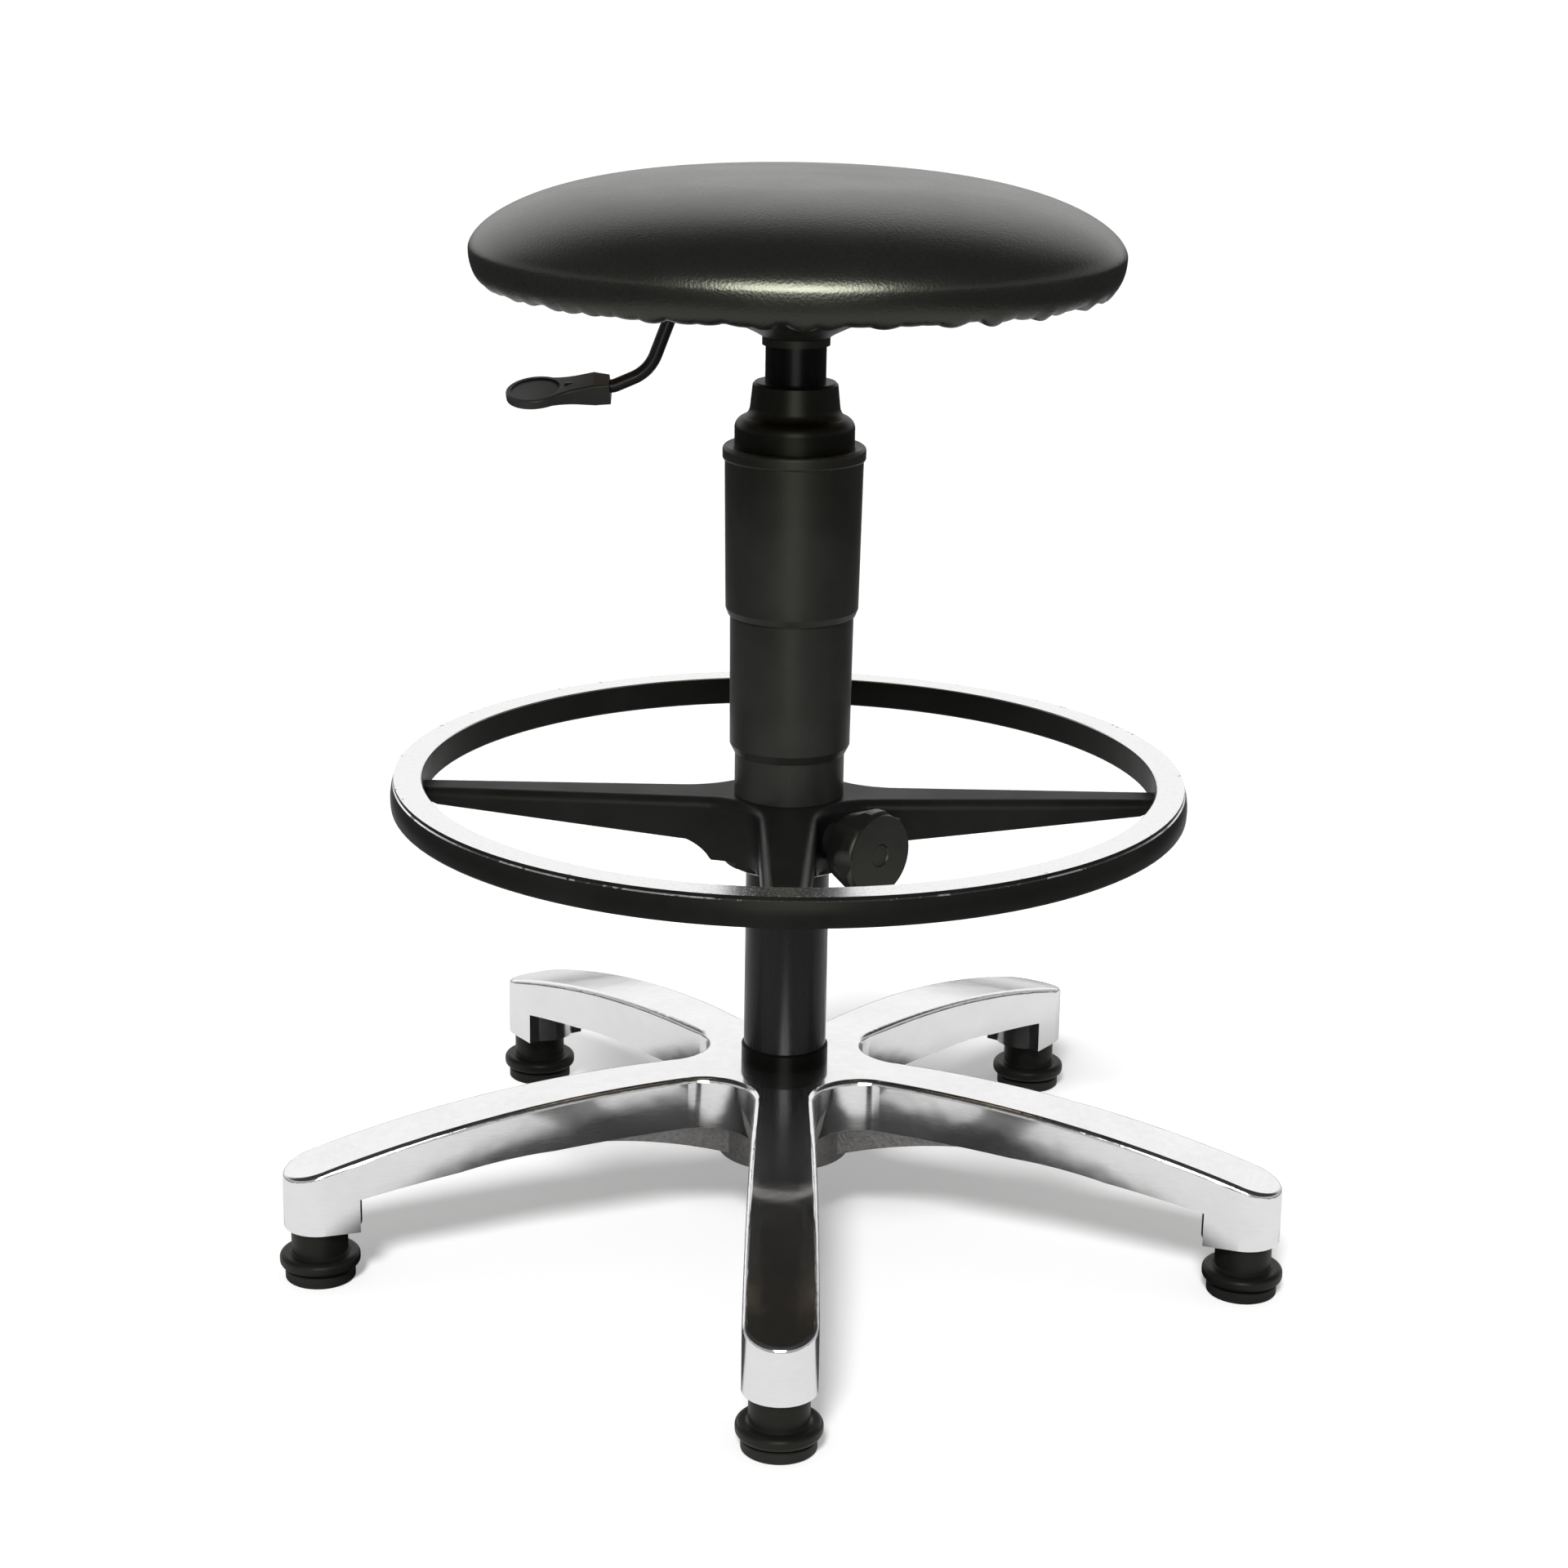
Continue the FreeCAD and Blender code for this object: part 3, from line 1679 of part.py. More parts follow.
def lever_paddle():
    """Moulded paddle: a narrow block round the rod that thins and widens to a flat round blade with a rim."""
    body = new_body("lever_paddle")
    tip_centre = s.paddle_length - s.paddle_end_radius
    shoulder_x = s.paddle_ramp_start + s.paddle_ramp_length
    half = s.paddle_neck_half_width
    high = s.paddle_neck_half_height - s.paddle_drop
    low = -s.paddle_neck_half_height - s.paddle_drop
    blade_high = s.paddle_blade_half_height - s.paddle_drop
    blade_low = -s.paddle_blade_half_height - s.paddle_drop
    waist_x = tip_centre - s.paddle_end_radius * cosine(s.paddle_waist_turn)
    waist_y = s.paddle_end_radius * sine(s.paddle_waist_turn)
    extrude(
        body,
        "plan",
        [
            (0, s.paddle_corner_width - half),
            (s.paddle_corner_length, -half),
            (s.paddle_neck_length, -half),
            Bow(s.paddle_waist_curve, 1),
            (waist_x, -waist_y),
            Bow(s.paddle_end_radius, -1),
            (s.paddle_length, 0),
            Bow(s.paddle_end_radius, -1),
            (waist_x, waist_y),
            Bow(s.paddle_waist_curve, 1),
            (s.paddle_neck_length, half),
            (0, half),
        ],
        low,
        high,
    )
    wide = s.paddle_end_radius + 2
    beyond = s.paddle_length + 2
    for name, level, blade_level, clear in (
        ("above_blade", high, blade_high, high + 1),
        ("below_blade", low, blade_low, low - 1),
    ):
        extrude(
            body,
            name,
            [
                (s.paddle_ramp_start, clear),
                (s.paddle_ramp_start, level),
                (shoulder_x, blade_level),
                (beyond, blade_level),
                (beyond, clear),
            ],
            -wide,
            wide,
            cut=True,
            role="XZ_Plane",
        )

    def outer_edge(edge):
        point = middle(edge)
        at_side = abs(point.y) > half.value / 2 or point.x > s.paddle_length.value - 1
        upright = blade_low.value + 0.1 < point.z < blade_high.value - 0.1
        return at_side and point.x > 1 and not upright

    soften(body, "outer_edges", outer_edge, s.paddle_edge_round)
    extrude(
        body,
        "thumb_recess",
        Disc(tip_centre, 0, s.paddle_end_radius - s.paddle_rim),
        blade_high - s.paddle_recess,
        blade_high + 1,
        cut=True,
    )
    extrude(
        body,
        "rod_bore",
        Disc(0, 0, s.lever_radius),
        -1,
        s.lever_grip / cosine(s.lever_slope),
        cut=True,
        role="YZ_Plane",
    )
    tilt = FreeCAD.Rotation(V(0, 1, 0), -s.lever_slope.value)
    roll = FreeCAD.Rotation(V(1, 0, 0), -s.paddle_roll.value)
    place(body, -s.paddle_start, 0, slope_height(s.paddle_start), tilt * about_z(180) * roll)
    return body


# Seat

crown_stations = (72.8, 60, 46, 32, 19, 8, 0)


def crown_point(angle, radius, crown, base):
    """Point of the seat's crown: a superellipse, flat on top and tight at the edge."""
    cos = max(math.cos(math.radians(angle)), 0.0)
    sin = math.sin(math.radians(angle))
    across = cos ** (2 / s.seat_crown_power.value)
    up = sin ** (2 / s.seat_crown_fall.value)
    return V(radius * across, 0, base + crown * up)


def crown_edges(inset):
    """Arcs of the seat's section from the middle of its top to its widest point."""
    radius = s.seat_radius.value - inset
    crown = s.seat_crown.value - inset
    base = widest.value
    first = crown_point(crown_stations[0], radius, crown, base)
    top = V(0, 0, base + crown)
    drop = top.z - first.z
    curve = (first.x ** 2 + drop ** 2) / (2 * drop)
    half = first.x / 2
    on_curve = V(half, 0, top.z - curve + math.sqrt(curve ** 2 - half ** 2))
    edges = [Part.Arc(top, on_curve, first).toShape()]
    for one, two in zip(crown_stations, crown_stations[1:]):
        start = crown_point(one, radius, crown, base)
        between = crown_point((one + two) / 2, radius, crown, base)
        end = crown_point(two, radius, crown, base)
        edges.append(Part.Arc(start, between, end).toShape())
    return edges


def belly_edge(inset):
    """Arc of the seat's section from its widest point down to the hem."""
    base = widest.value
    across = s.hem_turn.value
    down = base - board_low.value + s.hem_thickness.value - inset
    radius = s.seat_radius.value - inset
    turn = radius - across
    diagonal = math.sqrt(0.5)
    between = V(turn + across * diagonal, 0, base - down * diagonal)
    return Part.Arc(V(radius, 0, base), between, V(turn, 0, base - down)).toShape()


def turned(label, edges):
    """A solid of revolution from the edges of its section."""
    wire = Part.Wire(edges)
    face = Part.Face(wire)
    feature = doc.addObject("Part::Feature", label)
    feature.Label = label
    feature.Shape = face.revolve(V(0, 0, 0), V(0, 0, 1), 360)
    doc.recompute()
    return feature


def line(*points):
    return [Part.LineSegment(a, b).toShape() for a, b in zip(points, points[1:])]


def seat_board():
    """Plywood disc with a hole for each nut."""
    body = new_body("seat_board")
    high = board_low + s.board_height
    revolve(
        body,
        "board",
        [(0, board_low), (board_radius, board_low), (board_radius, high), (0, high)],
    )
    hole = extrude(
        body,
        "nut_hole",
        Disc(s.fixing_circle, 0, s.nut_radius),
        board_low - 1,
        high + 1,
        cut=True,
        turn=180 / s.fixing_count.value,
    )
    repeat(body, [hole], s.fixing_count)
    seat_for_flange = extrude(
        body,
        "flange_seat",
        Disc(s.fixing_circle, 0, s.nut_flange_radius + s.seat_gap),
        high - s.nut_flange_height,
        high + 1,
        cut=True,
        turn=180 / s.fixing_count.value,
    )
    repeat(body, [seat_for_flange], s.fixing_count)
    return body


def seat_foam():
    """Foam pad on the board, drawn in round the board's edge."""
    inset = s.cover_skin.value + s.seat_gap.value
    gap = s.seat_gap.value
    board_high = board_low.value + s.board_height.value
    edge = board_radius.value + gap
    crown = crown_edges(inset)
    belly = belly_edge(inset)
    top = crown[0].Vertexes[0].Point
    low = belly.Vertexes[-1].Point
    floor = line(low, V(edge, 0, low.z), V(edge, 0, board_high + gap), V(0, 0, board_high + gap), top)
    return turned("seat_foam", crown + [belly] + floor)


def seat_cover():
    """Upholstery skin over the foam, drawn under the board to its hem."""
    skin = s.cover_skin.value
    outer_crown = crown_edges(0)
    outer_belly = belly_edge(0)
    inner_crown = crown_edges(skin)
    inner_belly = belly_edge(skin)
    outer_low = outer_belly.Vertexes[-1].Point
    inner_low = inner_belly.Vertexes[-1].Point
    hem = s.seat_radius.value - s.hem_reach.value
    under = line(outer_low, V(hem, 0, outer_low.z), V(hem, 0, inner_low.z), inner_low)
    close = line(inner_crown[0].Vertexes[0].Point, outer_crown[0].Vertexes[0].Point)
    inner = [inner_belly] + inner_crown[::-1]
    return turned("seat_cover", outer_crown + [outer_belly] + under + inner + close)


def build():
    """Every sub-part, from the floor up."""
    pieces = [base_star(), base_collar()]
    for index in range(round(s.arm_count.value)):
        pieces += [glide_body(index), glide_sole(index), glide_stem(index)]
    pieces += [stand_tube(), tube_bush(), piston_rod(), rod_clip(), piston(), *thrust_parts(), bump_stop()]
    pieces += [lower_cover(), middle_cover(), upper_cover(), cover_cap(), spacer_tube()]
    pieces += [ring_bush(), foot_ring(), screw_insert(), clamp_shoe(), clamp_screw(), clamp_knob()]
    pieces += [pressure_tube(), tube_guide(), valve_block(), release_pin()]
    pieces += [hub_sleeve(), seat_bell(), seat_plate(), lever_bracket(), lever_pin()]
    pieces += [seat_screws(), seat_washers(), tee_nuts(), lever_rod(), lever_paddle()]
    pieces += [seat_board(), seat_foam(), seat_cover()]
    return pieces


def check(pieces):
    """Stops if any object failed or any sub-part's shape is empty or not valid."""
    for thing in doc.Objects:
        if "Invalid" in thing.State or "Error" in thing.State:
            raise RuntimeError(f"{thing.Label} is {thing.State}")
    for piece in pieces:
        shape = piece.Shape
        if shape.isNull() or not shape.isValid() or not shape.Solids:
            raise RuntimeError(f"{piece.Label} has no valid solid")


def main():
    pieces = build()
    check(pieces)
    os.makedirs("parts", exist_ok=True)
    for piece in pieces:
        piece.Shape.exportStep(f"parts/{piece.Label}.step")
    print(f"{len(pieces)} sub-parts")


main()
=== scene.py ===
import bmesh
import bpy
import json
import math
import random
from mathutils import Matrix, Vector


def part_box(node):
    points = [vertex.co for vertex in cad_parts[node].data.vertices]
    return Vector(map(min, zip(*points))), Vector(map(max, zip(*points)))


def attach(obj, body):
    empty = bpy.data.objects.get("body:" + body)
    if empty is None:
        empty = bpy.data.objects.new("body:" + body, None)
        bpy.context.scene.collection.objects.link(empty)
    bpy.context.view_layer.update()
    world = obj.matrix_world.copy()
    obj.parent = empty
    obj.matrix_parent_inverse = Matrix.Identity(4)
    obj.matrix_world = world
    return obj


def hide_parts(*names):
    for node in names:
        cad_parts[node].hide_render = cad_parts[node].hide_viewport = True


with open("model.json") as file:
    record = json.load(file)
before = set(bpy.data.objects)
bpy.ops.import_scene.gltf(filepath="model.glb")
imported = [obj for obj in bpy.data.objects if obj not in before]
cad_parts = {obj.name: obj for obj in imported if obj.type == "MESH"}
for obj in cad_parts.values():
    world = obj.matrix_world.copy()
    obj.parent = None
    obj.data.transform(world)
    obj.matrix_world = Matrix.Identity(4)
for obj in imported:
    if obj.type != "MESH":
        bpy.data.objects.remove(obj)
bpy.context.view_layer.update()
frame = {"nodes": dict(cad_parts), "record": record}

# Camera

LENS = 71.1
SENSOR_WIDTH = 36
CAMERA_SPOT = Vector((-0.00292, -1.77027, 0.81414))
CAMERA_PITCH = math.radians(16.70)
CAMERA_ROLL = math.radians(0.93)


def make_camera():
    """Camera at the photograph's viewing angle."""
    data = bpy.data.cameras.new("camera")
    data.lens = LENS
    data.sensor_width = SENSOR_WIDTH
    data.clip_start = 0.05
    data.clip_end = 200
    camera = bpy.data.objects.new("camera", data)
    bpy.context.collection.objects.link(camera)
    forward = Vector((0, math.cos(CAMERA_PITCH), -math.sin(CAMERA_PITCH)))
    side = Vector((1, 0, 0))
    up = side.cross(forward)
    right = side * math.cos(CAMERA_ROLL) + up * math.sin(CAMERA_ROLL)
    upright = up * math.cos(CAMERA_ROLL) - side * math.sin(CAMERA_ROLL)
    turn = Matrix((right, upright, -forward)).transposed()
    camera.matrix_world = Matrix.Translation(CAMERA_SPOT) @ turn.to_4x4()
    bpy.context.scene.camera = camera


make_camera()

# Node helpers


class Tree:
    """Adds nodes to the node tree of a material or of the world."""

    def __init__(self, tree):
        self.tree = tree

    def add(self, kind, settings=None, **inputs):
        """Add a node. A name in inputs is that of a socket, with _ in place of a space."""
        made = self.tree.nodes.new("ShaderNode" + kind)
        for key, value in (settings or {}).items():
            setattr(made, key, value)
        for key, value in inputs.items():
            self.feed(made.inputs[key.replace("_", " ")], value)
        return made

    def feed(self, socket, value):
        """Link a socket to another node's output, or set it to a plain value."""
        if isinstance(value, bpy.types.NodeSocket):
            self.tree.links.new(value, socket)
        else:
            socket.default_value = value

    def math(self, operation, *values, clamp=False):
        made = self.add("Math", {"operation": operation, "use_clamp": clamp})
        for socket, value in zip(made.inputs, values):
            self.feed(socket, value)
        return made.outputs[0]

    def product(self, first, *others):
        for other in others:
            first = self.math("MULTIPLY", first, other)
        return first

    def span(self, value, low, high, to_low=0.0, to_high=1.0, kind="LINEAR"):
        """Map low to to_low and high to to_high, and hold these values beyond them."""
        made = self.add("MapRange", {"interpolation_type": kind})
        for socket, number in zip(made.inputs, (value, low, high, to_low, to_high)):
            self.feed(socket, number)
        return made.outputs[0]

    def fade(self, value, low, high, to_low, to_high):
        """As span, with soft ends."""
        return self.span(value, low, high, to_low, to_high, "SMOOTHSTEP")

    def between(self, factor, first, second):
        """Blend of two numbers."""
        made = self.add("Mix", {"data_type": "FLOAT"})
        self.feed(made.inputs[0], factor)
        self.feed(made.inputs[2], first)
        self.feed(made.inputs[3], second)
        return made.outputs[0]

    def parts(self, vector):
        return self.add("SeparateXYZ", Vector=vector).outputs

    def vector(self, operation, value, numbers, result="Vector"):
        made = self.add("VectorMath", {"operation": operation})
        self.feed(made.inputs[0], value)
        self.feed(made.inputs[1], numbers)
        return made.outputs[result]

    def distance(self, value, centre):
        return self.vector("DISTANCE", value, centre, "Value")


class Surface(Tree):
    """Node tree of one material of the object."""

    def __init__(self, name):
        self.material = bpy.data.materials.new(name)
        self.material.use_nodes = True
        super().__init__(self.material.node_tree)
        self.shader = self.tree.nodes["Principled BSDF"]
        self.spot = self.add("TexCoord").outputs["Object"]

    def noise(self, scale, detail, rough=0.55, vector=None):
        made = self.add("TexNoise", Vector=vector or self.spot, Scale=scale, Detail=detail, Roughness=rough)
        return made.outputs[0]

    def cells(self, scale):
        return self.add("TexVoronoi", Vector=self.spot, Scale=scale).outputs["Distance"]

    def stretch(self, x, y, z):
        """Coordinates in which a texture is finer along the axes that have the larger numbers."""
        return self.add("Mapping", Vector=self.spot, Scale=(x, y, z)).outputs[0]

    def spread(self, noise, to_low=0.0, to_high=1.0):
        """Map the usual range of a noise to the one given."""
        return self.span(noise, 0.3, 0.7, to_low, to_high)

    def band(self, value, low, high, soft):
        """1 between low and high, and 0 outside them, with soft as the width of each change."""
        return self.product(self.span(value, low, low + soft), self.span(value, high - soft, high, 1.0, 0.0))

    def facing_up(self):
        """1 where the surface faces up, 0 where it is upright and -1 where it faces down."""
        return self.parts(self.add("NewGeometry").outputs["Normal"])[2]

    def place(self):
        """Distance from the column's axis, and height."""
        x, y, height = self.parts(self.spot)
        return self.math("SQRT", self.math("ADD", self.product(x, x), self.product(y, y))), height

    def blend(self, factor, first, second):
        """Blend of two colours."""
        made = self.add("Mix", {"data_type": "RGBA"})
        self.feed(made.inputs[0], factor)
        self.feed(made.inputs[6], first)
        self.feed(made.inputs[7], second)
        return made.outputs[2]

    def bump(self, height, distance, strength, after=None):
        made = self.add("Bump", Height=height, Distance=distance, Strength=strength)
        if after is not None:
            self.feed(made.inputs["Normal"], after)
        return made.outputs[0]

    def set(self, **inputs):
        for key, value in inputs.items():
            self.feed(self.shader.inputs[key.replace("_", " ")], value)


def grey(level, warm=0.0):
    return (level * (1 + warm), level, level * (1 - warm), 1)


# Materials

OLIVE = (1.0, 1.03, 0.80, 1)

# Foot of the polished wall on the base's arms: where its curve starts, its height there, how flat the
# curve is, and how far out it parts the wall from the keel.
WALL_START = 0.052
WALL_FOOT = 0.0757
WALL_CURVE = 2.2
KEEL_END = 0.2059


def leatherette():
    """Black upholstery leatherette with a fine pebbled grain."""
    n = Surface("leatherette")
    grain = n.cells(620)
    fine = n.noise(2200, 3)
    broad = n.noise(14, 3)
    relief = n.math("ADD", n.product(grain, 0.7), n.product(fine, 0.5))
    tone = n.span(n.math("ADD", n.product(grain, 0.5), n.product(broad, 0.5)), 0.2, 0.8)
    n.set(
        Base_Color=n.blend(tone, grey(0.007), grey(0.012)),
        Roughness=n.spread(broad, 0.25, 0.30),
        Normal=n.bump(relief, 0.00022, 0.5),
        Specular_IOR_Level=0.45,
        Specular_Tint=OLIVE,
    )
    return n.material


def satin_plastic(name, level, rough, scuffs=0.0, warm=0.0, shine=0.25):
    """Moulded plastic or satin paint with a fine spark texture, uneven sheen and faint scuffs."""
    n = Surface(name)
    spark = n.noise(2200, 3)
    broad = n.noise(22, 4)
    fine_lines = n.noise(60, 5, 0.7, n.stretch(7.0, 7.0, 0.5))
    mark = n.product(n.span(fine_lines, 0.6, 0.74), n.span(broad, 0.5, 0.66, 0.0, scuffs))
    tone = n.math("ADD", n.spread(broad, 0.0, 0.35), mark, clamp=True)
    n.set(
        Base_Color=n.blend(tone, grey(level, warm), grey(level * 2.6, warm)),
        Roughness=n.math("ADD", n.spread(broad, rough - 0.04, rough + 0.05), n.product(mark, 0.12)),
        Normal=n.bump(spark, 0.00006, 0.35),
        Specular_IOR_Level=shine,
        Specular_Tint=OLIVE,
    )
    return n.material


def steel(name, level, rough, metallic=1.0, lengthwise=True, shine=0.5):
    """Bare or black steel with a faint drawn grain and uneven gloss."""
    n = Surface(name)
    grain = n.noise(180, 4, 0.6, n.stretch(8, 8, 0.15) if lengthwise else n.stretch(0.4, 0.4, 9))
    broad = n.noise(35, 3)
    n.set(
        Base_Color=n.blend(n.spread(broad), grey(level), grey(level * 1.25)),
        Roughness=n.spread(grain, rough * 0.8, rough * 1.25),
        Normal=n.bump(grain, 0.00003, 0.3),
        Metallic=metallic,
        Specular_IOR_Level=shine,
    )
    return n.material


def polished_base():
    """Polished aluminium casting whose undersides and keels keep the grey skin of the mould."""
    n = Surface("polished_aluminium")
    reach, height = n.place()
    over = n.math("SUBTRACT", reach, WALL_START)
    drop = n.math("DIVIDE", n.product(over, over), WALL_CURVE)
    wall_foot = n.math("SUBTRACT", WALL_FOOT, drop)
    below = n.span(n.math("SUBTRACT", wall_foot, height), -0.0003, 0.0006)
    inboard = n.span(reach, KEEL_END - 0.0003, KEEL_END + 0.0003, 1.0, 0.0)
    under = n.span(n.facing_up(), -0.75, -0.55, 1.0, 0.0)
    cast = n.math("MAXIMUM", n.product(below, inboard), under, clamp=True)
    skin = n.noise(420, 5, 0.65)
    cloud = n.noise(30, 4)
    wave = n.noise(24, 2)
    buff = n.noise(150, 5, 0.7, n.stretch(1, 1, 6))
    hazy = n.math("ADD", n.spread(cloud, 0.0, 0.5), n.span(buff, 0.35, 0.75, 0.0, 0.5))
    bright = n.blend(hazy, grey(0.96), grey(0.84))
    dull = n.blend(n.spread(skin), grey(0.33, 0.03), grey(0.52, 0.02))
    gloss = n.span(buff, 0.3, 0.75, 0.07, 0.13)
    matte = n.spread(skin, 0.45, 0.62)
    ripple = n.bump(wave, 0.0010, 0.3)
    n.set(
        Base_Color=n.blend(cast, bright, dull),
        Roughness=n.between(cast, gloss, matte),
        Normal=n.bump(n.product(skin, cast), 0.0005, 0.8, ripple),
        Metallic=1.0,
        Coat_Weight=n.span(cast, 0.0, 1.0, 1.0, 0.0),
        Coat_Roughness=0.42,
        Coat_IOR=1.9,
    )
    return n.material


def ring_casting():
    """Black satin casting with a turned bare top face and a bright bead along its outer edge."""
    n = Surface("ring_casting")
    reach, height = n.place()
    facing = n.facing_up()
    _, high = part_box("foot_ring")
    edge = high[0]
    top = high[2]
    on_top = n.product(n.span(height, top - 0.0006, top - 0.0004), n.span(facing, 0.6, 0.7))
    # The bead is a real bare turned edge; its random breaks into black paint are painted shade standing in
    # for where its glint fades.
    bead_dashes = n.span(n.noise(24, 4, 0.7), 0.40, 0.46, 0.25, 1.0)
    sloped = n.band(facing, 0.35, 0.95, 0.1)
    bead = n.product(sloped, n.band(height, top - 0.0031, top - 0.0018, 0.0002), bead_dashes)
    chips = n.product(n.span(reach, edge - 0.0046, edge - 0.0030), n.span(n.noise(260, 3, 0.6), 0.64, 0.68))
    bare = n.math("MULTIPLY", n.math("MAXIMUM", on_top, bead), n.math("SUBTRACT", 1.0, chips), clamp=True)
    scratch = n.noise(240, 6, 0.75, n.stretch(1.0, 6.0, 1.0))
    cross = n.noise(240, 6, 0.75, n.stretch(6.0, 1.0, 1.0))
    marks = n.math("MAXIMUM", n.span(scratch, 0.55, 0.75), n.span(cross, 0.55, 0.75))
    broad = n.noise(26, 3)
    spark = n.noise(1500, 3)
    paint = n.blend(n.spread(broad), grey(0.006), grey(0.010))
    metal = n.blend(marks, grey(0.93), grey(0.74))
    paint_rough = n.spread(broad, 0.35, 0.43)
    metal_rough = n.span(marks, 0.0, 1.0, 0.2, 0.36)
    relief = n.math("ADD", n.product(marks, bare), n.product(spark, 0.4))
    n.set(
        Base_Color=n.blend(bare, paint, metal),
        Metallic=bare,
        Roughness=n.between(bare, paint_rough, metal_rough),
        Normal=n.bump(relief, 0.00004, 0.5),
        Specular_IOR_Level=0.10,
        Specular_Tint=n.blend(bare, OLIVE, grey(1.0)),
    )
    return n.material


def plywood():
    """Birch plywood with lengthwise grain and thin plies at its edge."""
    n = Surface("plywood")
    grain = n.noise(40, 6, 0.6, n.stretch(1.2, 12, 1))
    _, height = n.place()
    plies = n.math("SINE", n.product(height, 3400))
    edge = n.span(n.math("ABSOLUTE", n.facing_up()), 0.3, 0.5, 1.0, 0.0)
    tone = n.math("ADD", n.spread(grain), n.product(plies, edge, 0.4), clamp=True)
    n.set(
        Base_Color=n.blend(tone, (0.50, 0.34, 0.18, 1), (0.68, 0.50, 0.30, 1)),
        Roughness=n.spread(grain, 0.5, 0.65),
        Normal=n.bump(grain, 0.0002, 0.4),
    )
    return n.material


def soft_matter(name, dark, light, rough, scale):
    """Stuff with a fine grain or pores, such as foam, rubber, unfilled nylon or brass."""
    n = Surface(name)
    pores = n.noise(scale, 5, 0.65)
    n.set(
        Base_Color=n.blend(n.spread(pores), dark, light),
        Roughness=n.spread(pores, rough - 0.05, rough + 0.05),
        Normal=n.bump(pores, 0.0002, 0.5),
    )
    return n.material


MATERIALS = {
    "leatherette": leatherette(),
    "polished_aluminium": polished_base(),
    "ring_casting": ring_casting(),
    "collar_plastic": satin_plastic("collar_plastic", 0.003, 0.36, shine=0.06),
    "sleeve_plastic": satin_plastic("sleeve_plastic", 0.012, 0.40, scuffs=0.7, shine=0.3),
    "cap_plastic": satin_plastic("cap_plastic", 0.004, 0.36, shine=0.15),
    "knob_plastic": satin_plastic("knob_plastic", 0.007, 0.32, scuffs=0.4, shine=0.45),
    "paddle_plastic": satin_plastic("paddle_plastic", 0.018, 0.40, scuffs=0.3, warm=-0.06),
    "glide_plastic": satin_plastic("glide_plastic", 0.006, 0.38, scuffs=0.5, shine=0.2),
    "sole_plastic": satin_plastic("sole_plastic", 0.009, 0.5, scuffs=0.6, shine=0.2),
    "tube_steel": steel("tube_steel", 0.004, 0.26, metallic=0.0, shine=0.25),
    "spacer_steel": steel("spacer_steel", 0.003, 0.3, metallic=0.0, shine=0.15),
    "carrier_steel": satin_plastic("carrier_steel", 0.007, 0.42, scuffs=0.5),
    "lever_steel": steel("lever_steel", 0.005, 0.32, metallic=0.0, lengthwise=False, shine=0.25),
    "bright_steel": steel("bright_steel", 0.55, 0.28),
    "brass": soft_matter("brass", (0.55, 0.36, 0.13, 1), (0.72, 0.52, 0.24, 1), 0.3, 300),
    "nylon": soft_matter("nylon", grey(0.60, 0.04), grey(0.72, 0.04), 0.5, 500),
    "rubber": soft_matter("rubber", grey(0.02), grey(0.035), 0.7, 700),
    "foam": soft_matter("foam", (0.62, 0.56, 0.36, 1), (0.78, 0.72, 0.5, 1), 0.85, 900),
    "plywood": plywood(),
}

for row in frame["record"]["subparts"]:
    piece = frame["nodes"][row["node"]]
    piece.data.materials.clear()
    piece.data.materials.append(MATERIALS[row["material_slot"]])

# Seat cushion

HEM_THICKNESS = 0.002
SEAT_BELLY = 0.0164
HEM_TURN = 0.0092
HEM_REACH = 0.0362
SKIN = 0.0012
CROWN_POWER = 2.85
CROWN_FALL = 1.7
CROWN_LIMIT = 72.8
SLICES = 1140
TOP_STEPS = 14
SIDE_STEPS = 33
TURN_STEPS = 16
UNDER_STEPS = 14
INNER_TURN_STEPS = 5
INNER_SIDE_STEPS = 11
GATHER_START = 0.5
GATHER_POWER = 1.4
PLEATS = 76
PLEAT_STEP = 2 * math.pi / PLEATS
FOLD_HEIGHTS = (0.0008, 0.0015, 0.0022, 0.0028)
SMOOTH_SIDE = math.radians(190)
STAPLES = 60
STAPLE_SIZE = (0.0098, 0.0009, 0.0006)
STAPLE_INSET = 0.0055
seed = random.Random(11)


def crown_point(angle, radius, crown, base):
    """Reach and height of the side, from its widest line at angle 0 up to the crown."""
    turn = math.radians(angle)
    across = max(math.cos(turn), 0.0) ** (2 / CROWN_POWER)
    up = math.sin(turn) ** (2 / CROWN_FALL)
    return radius * across, base + crown * up


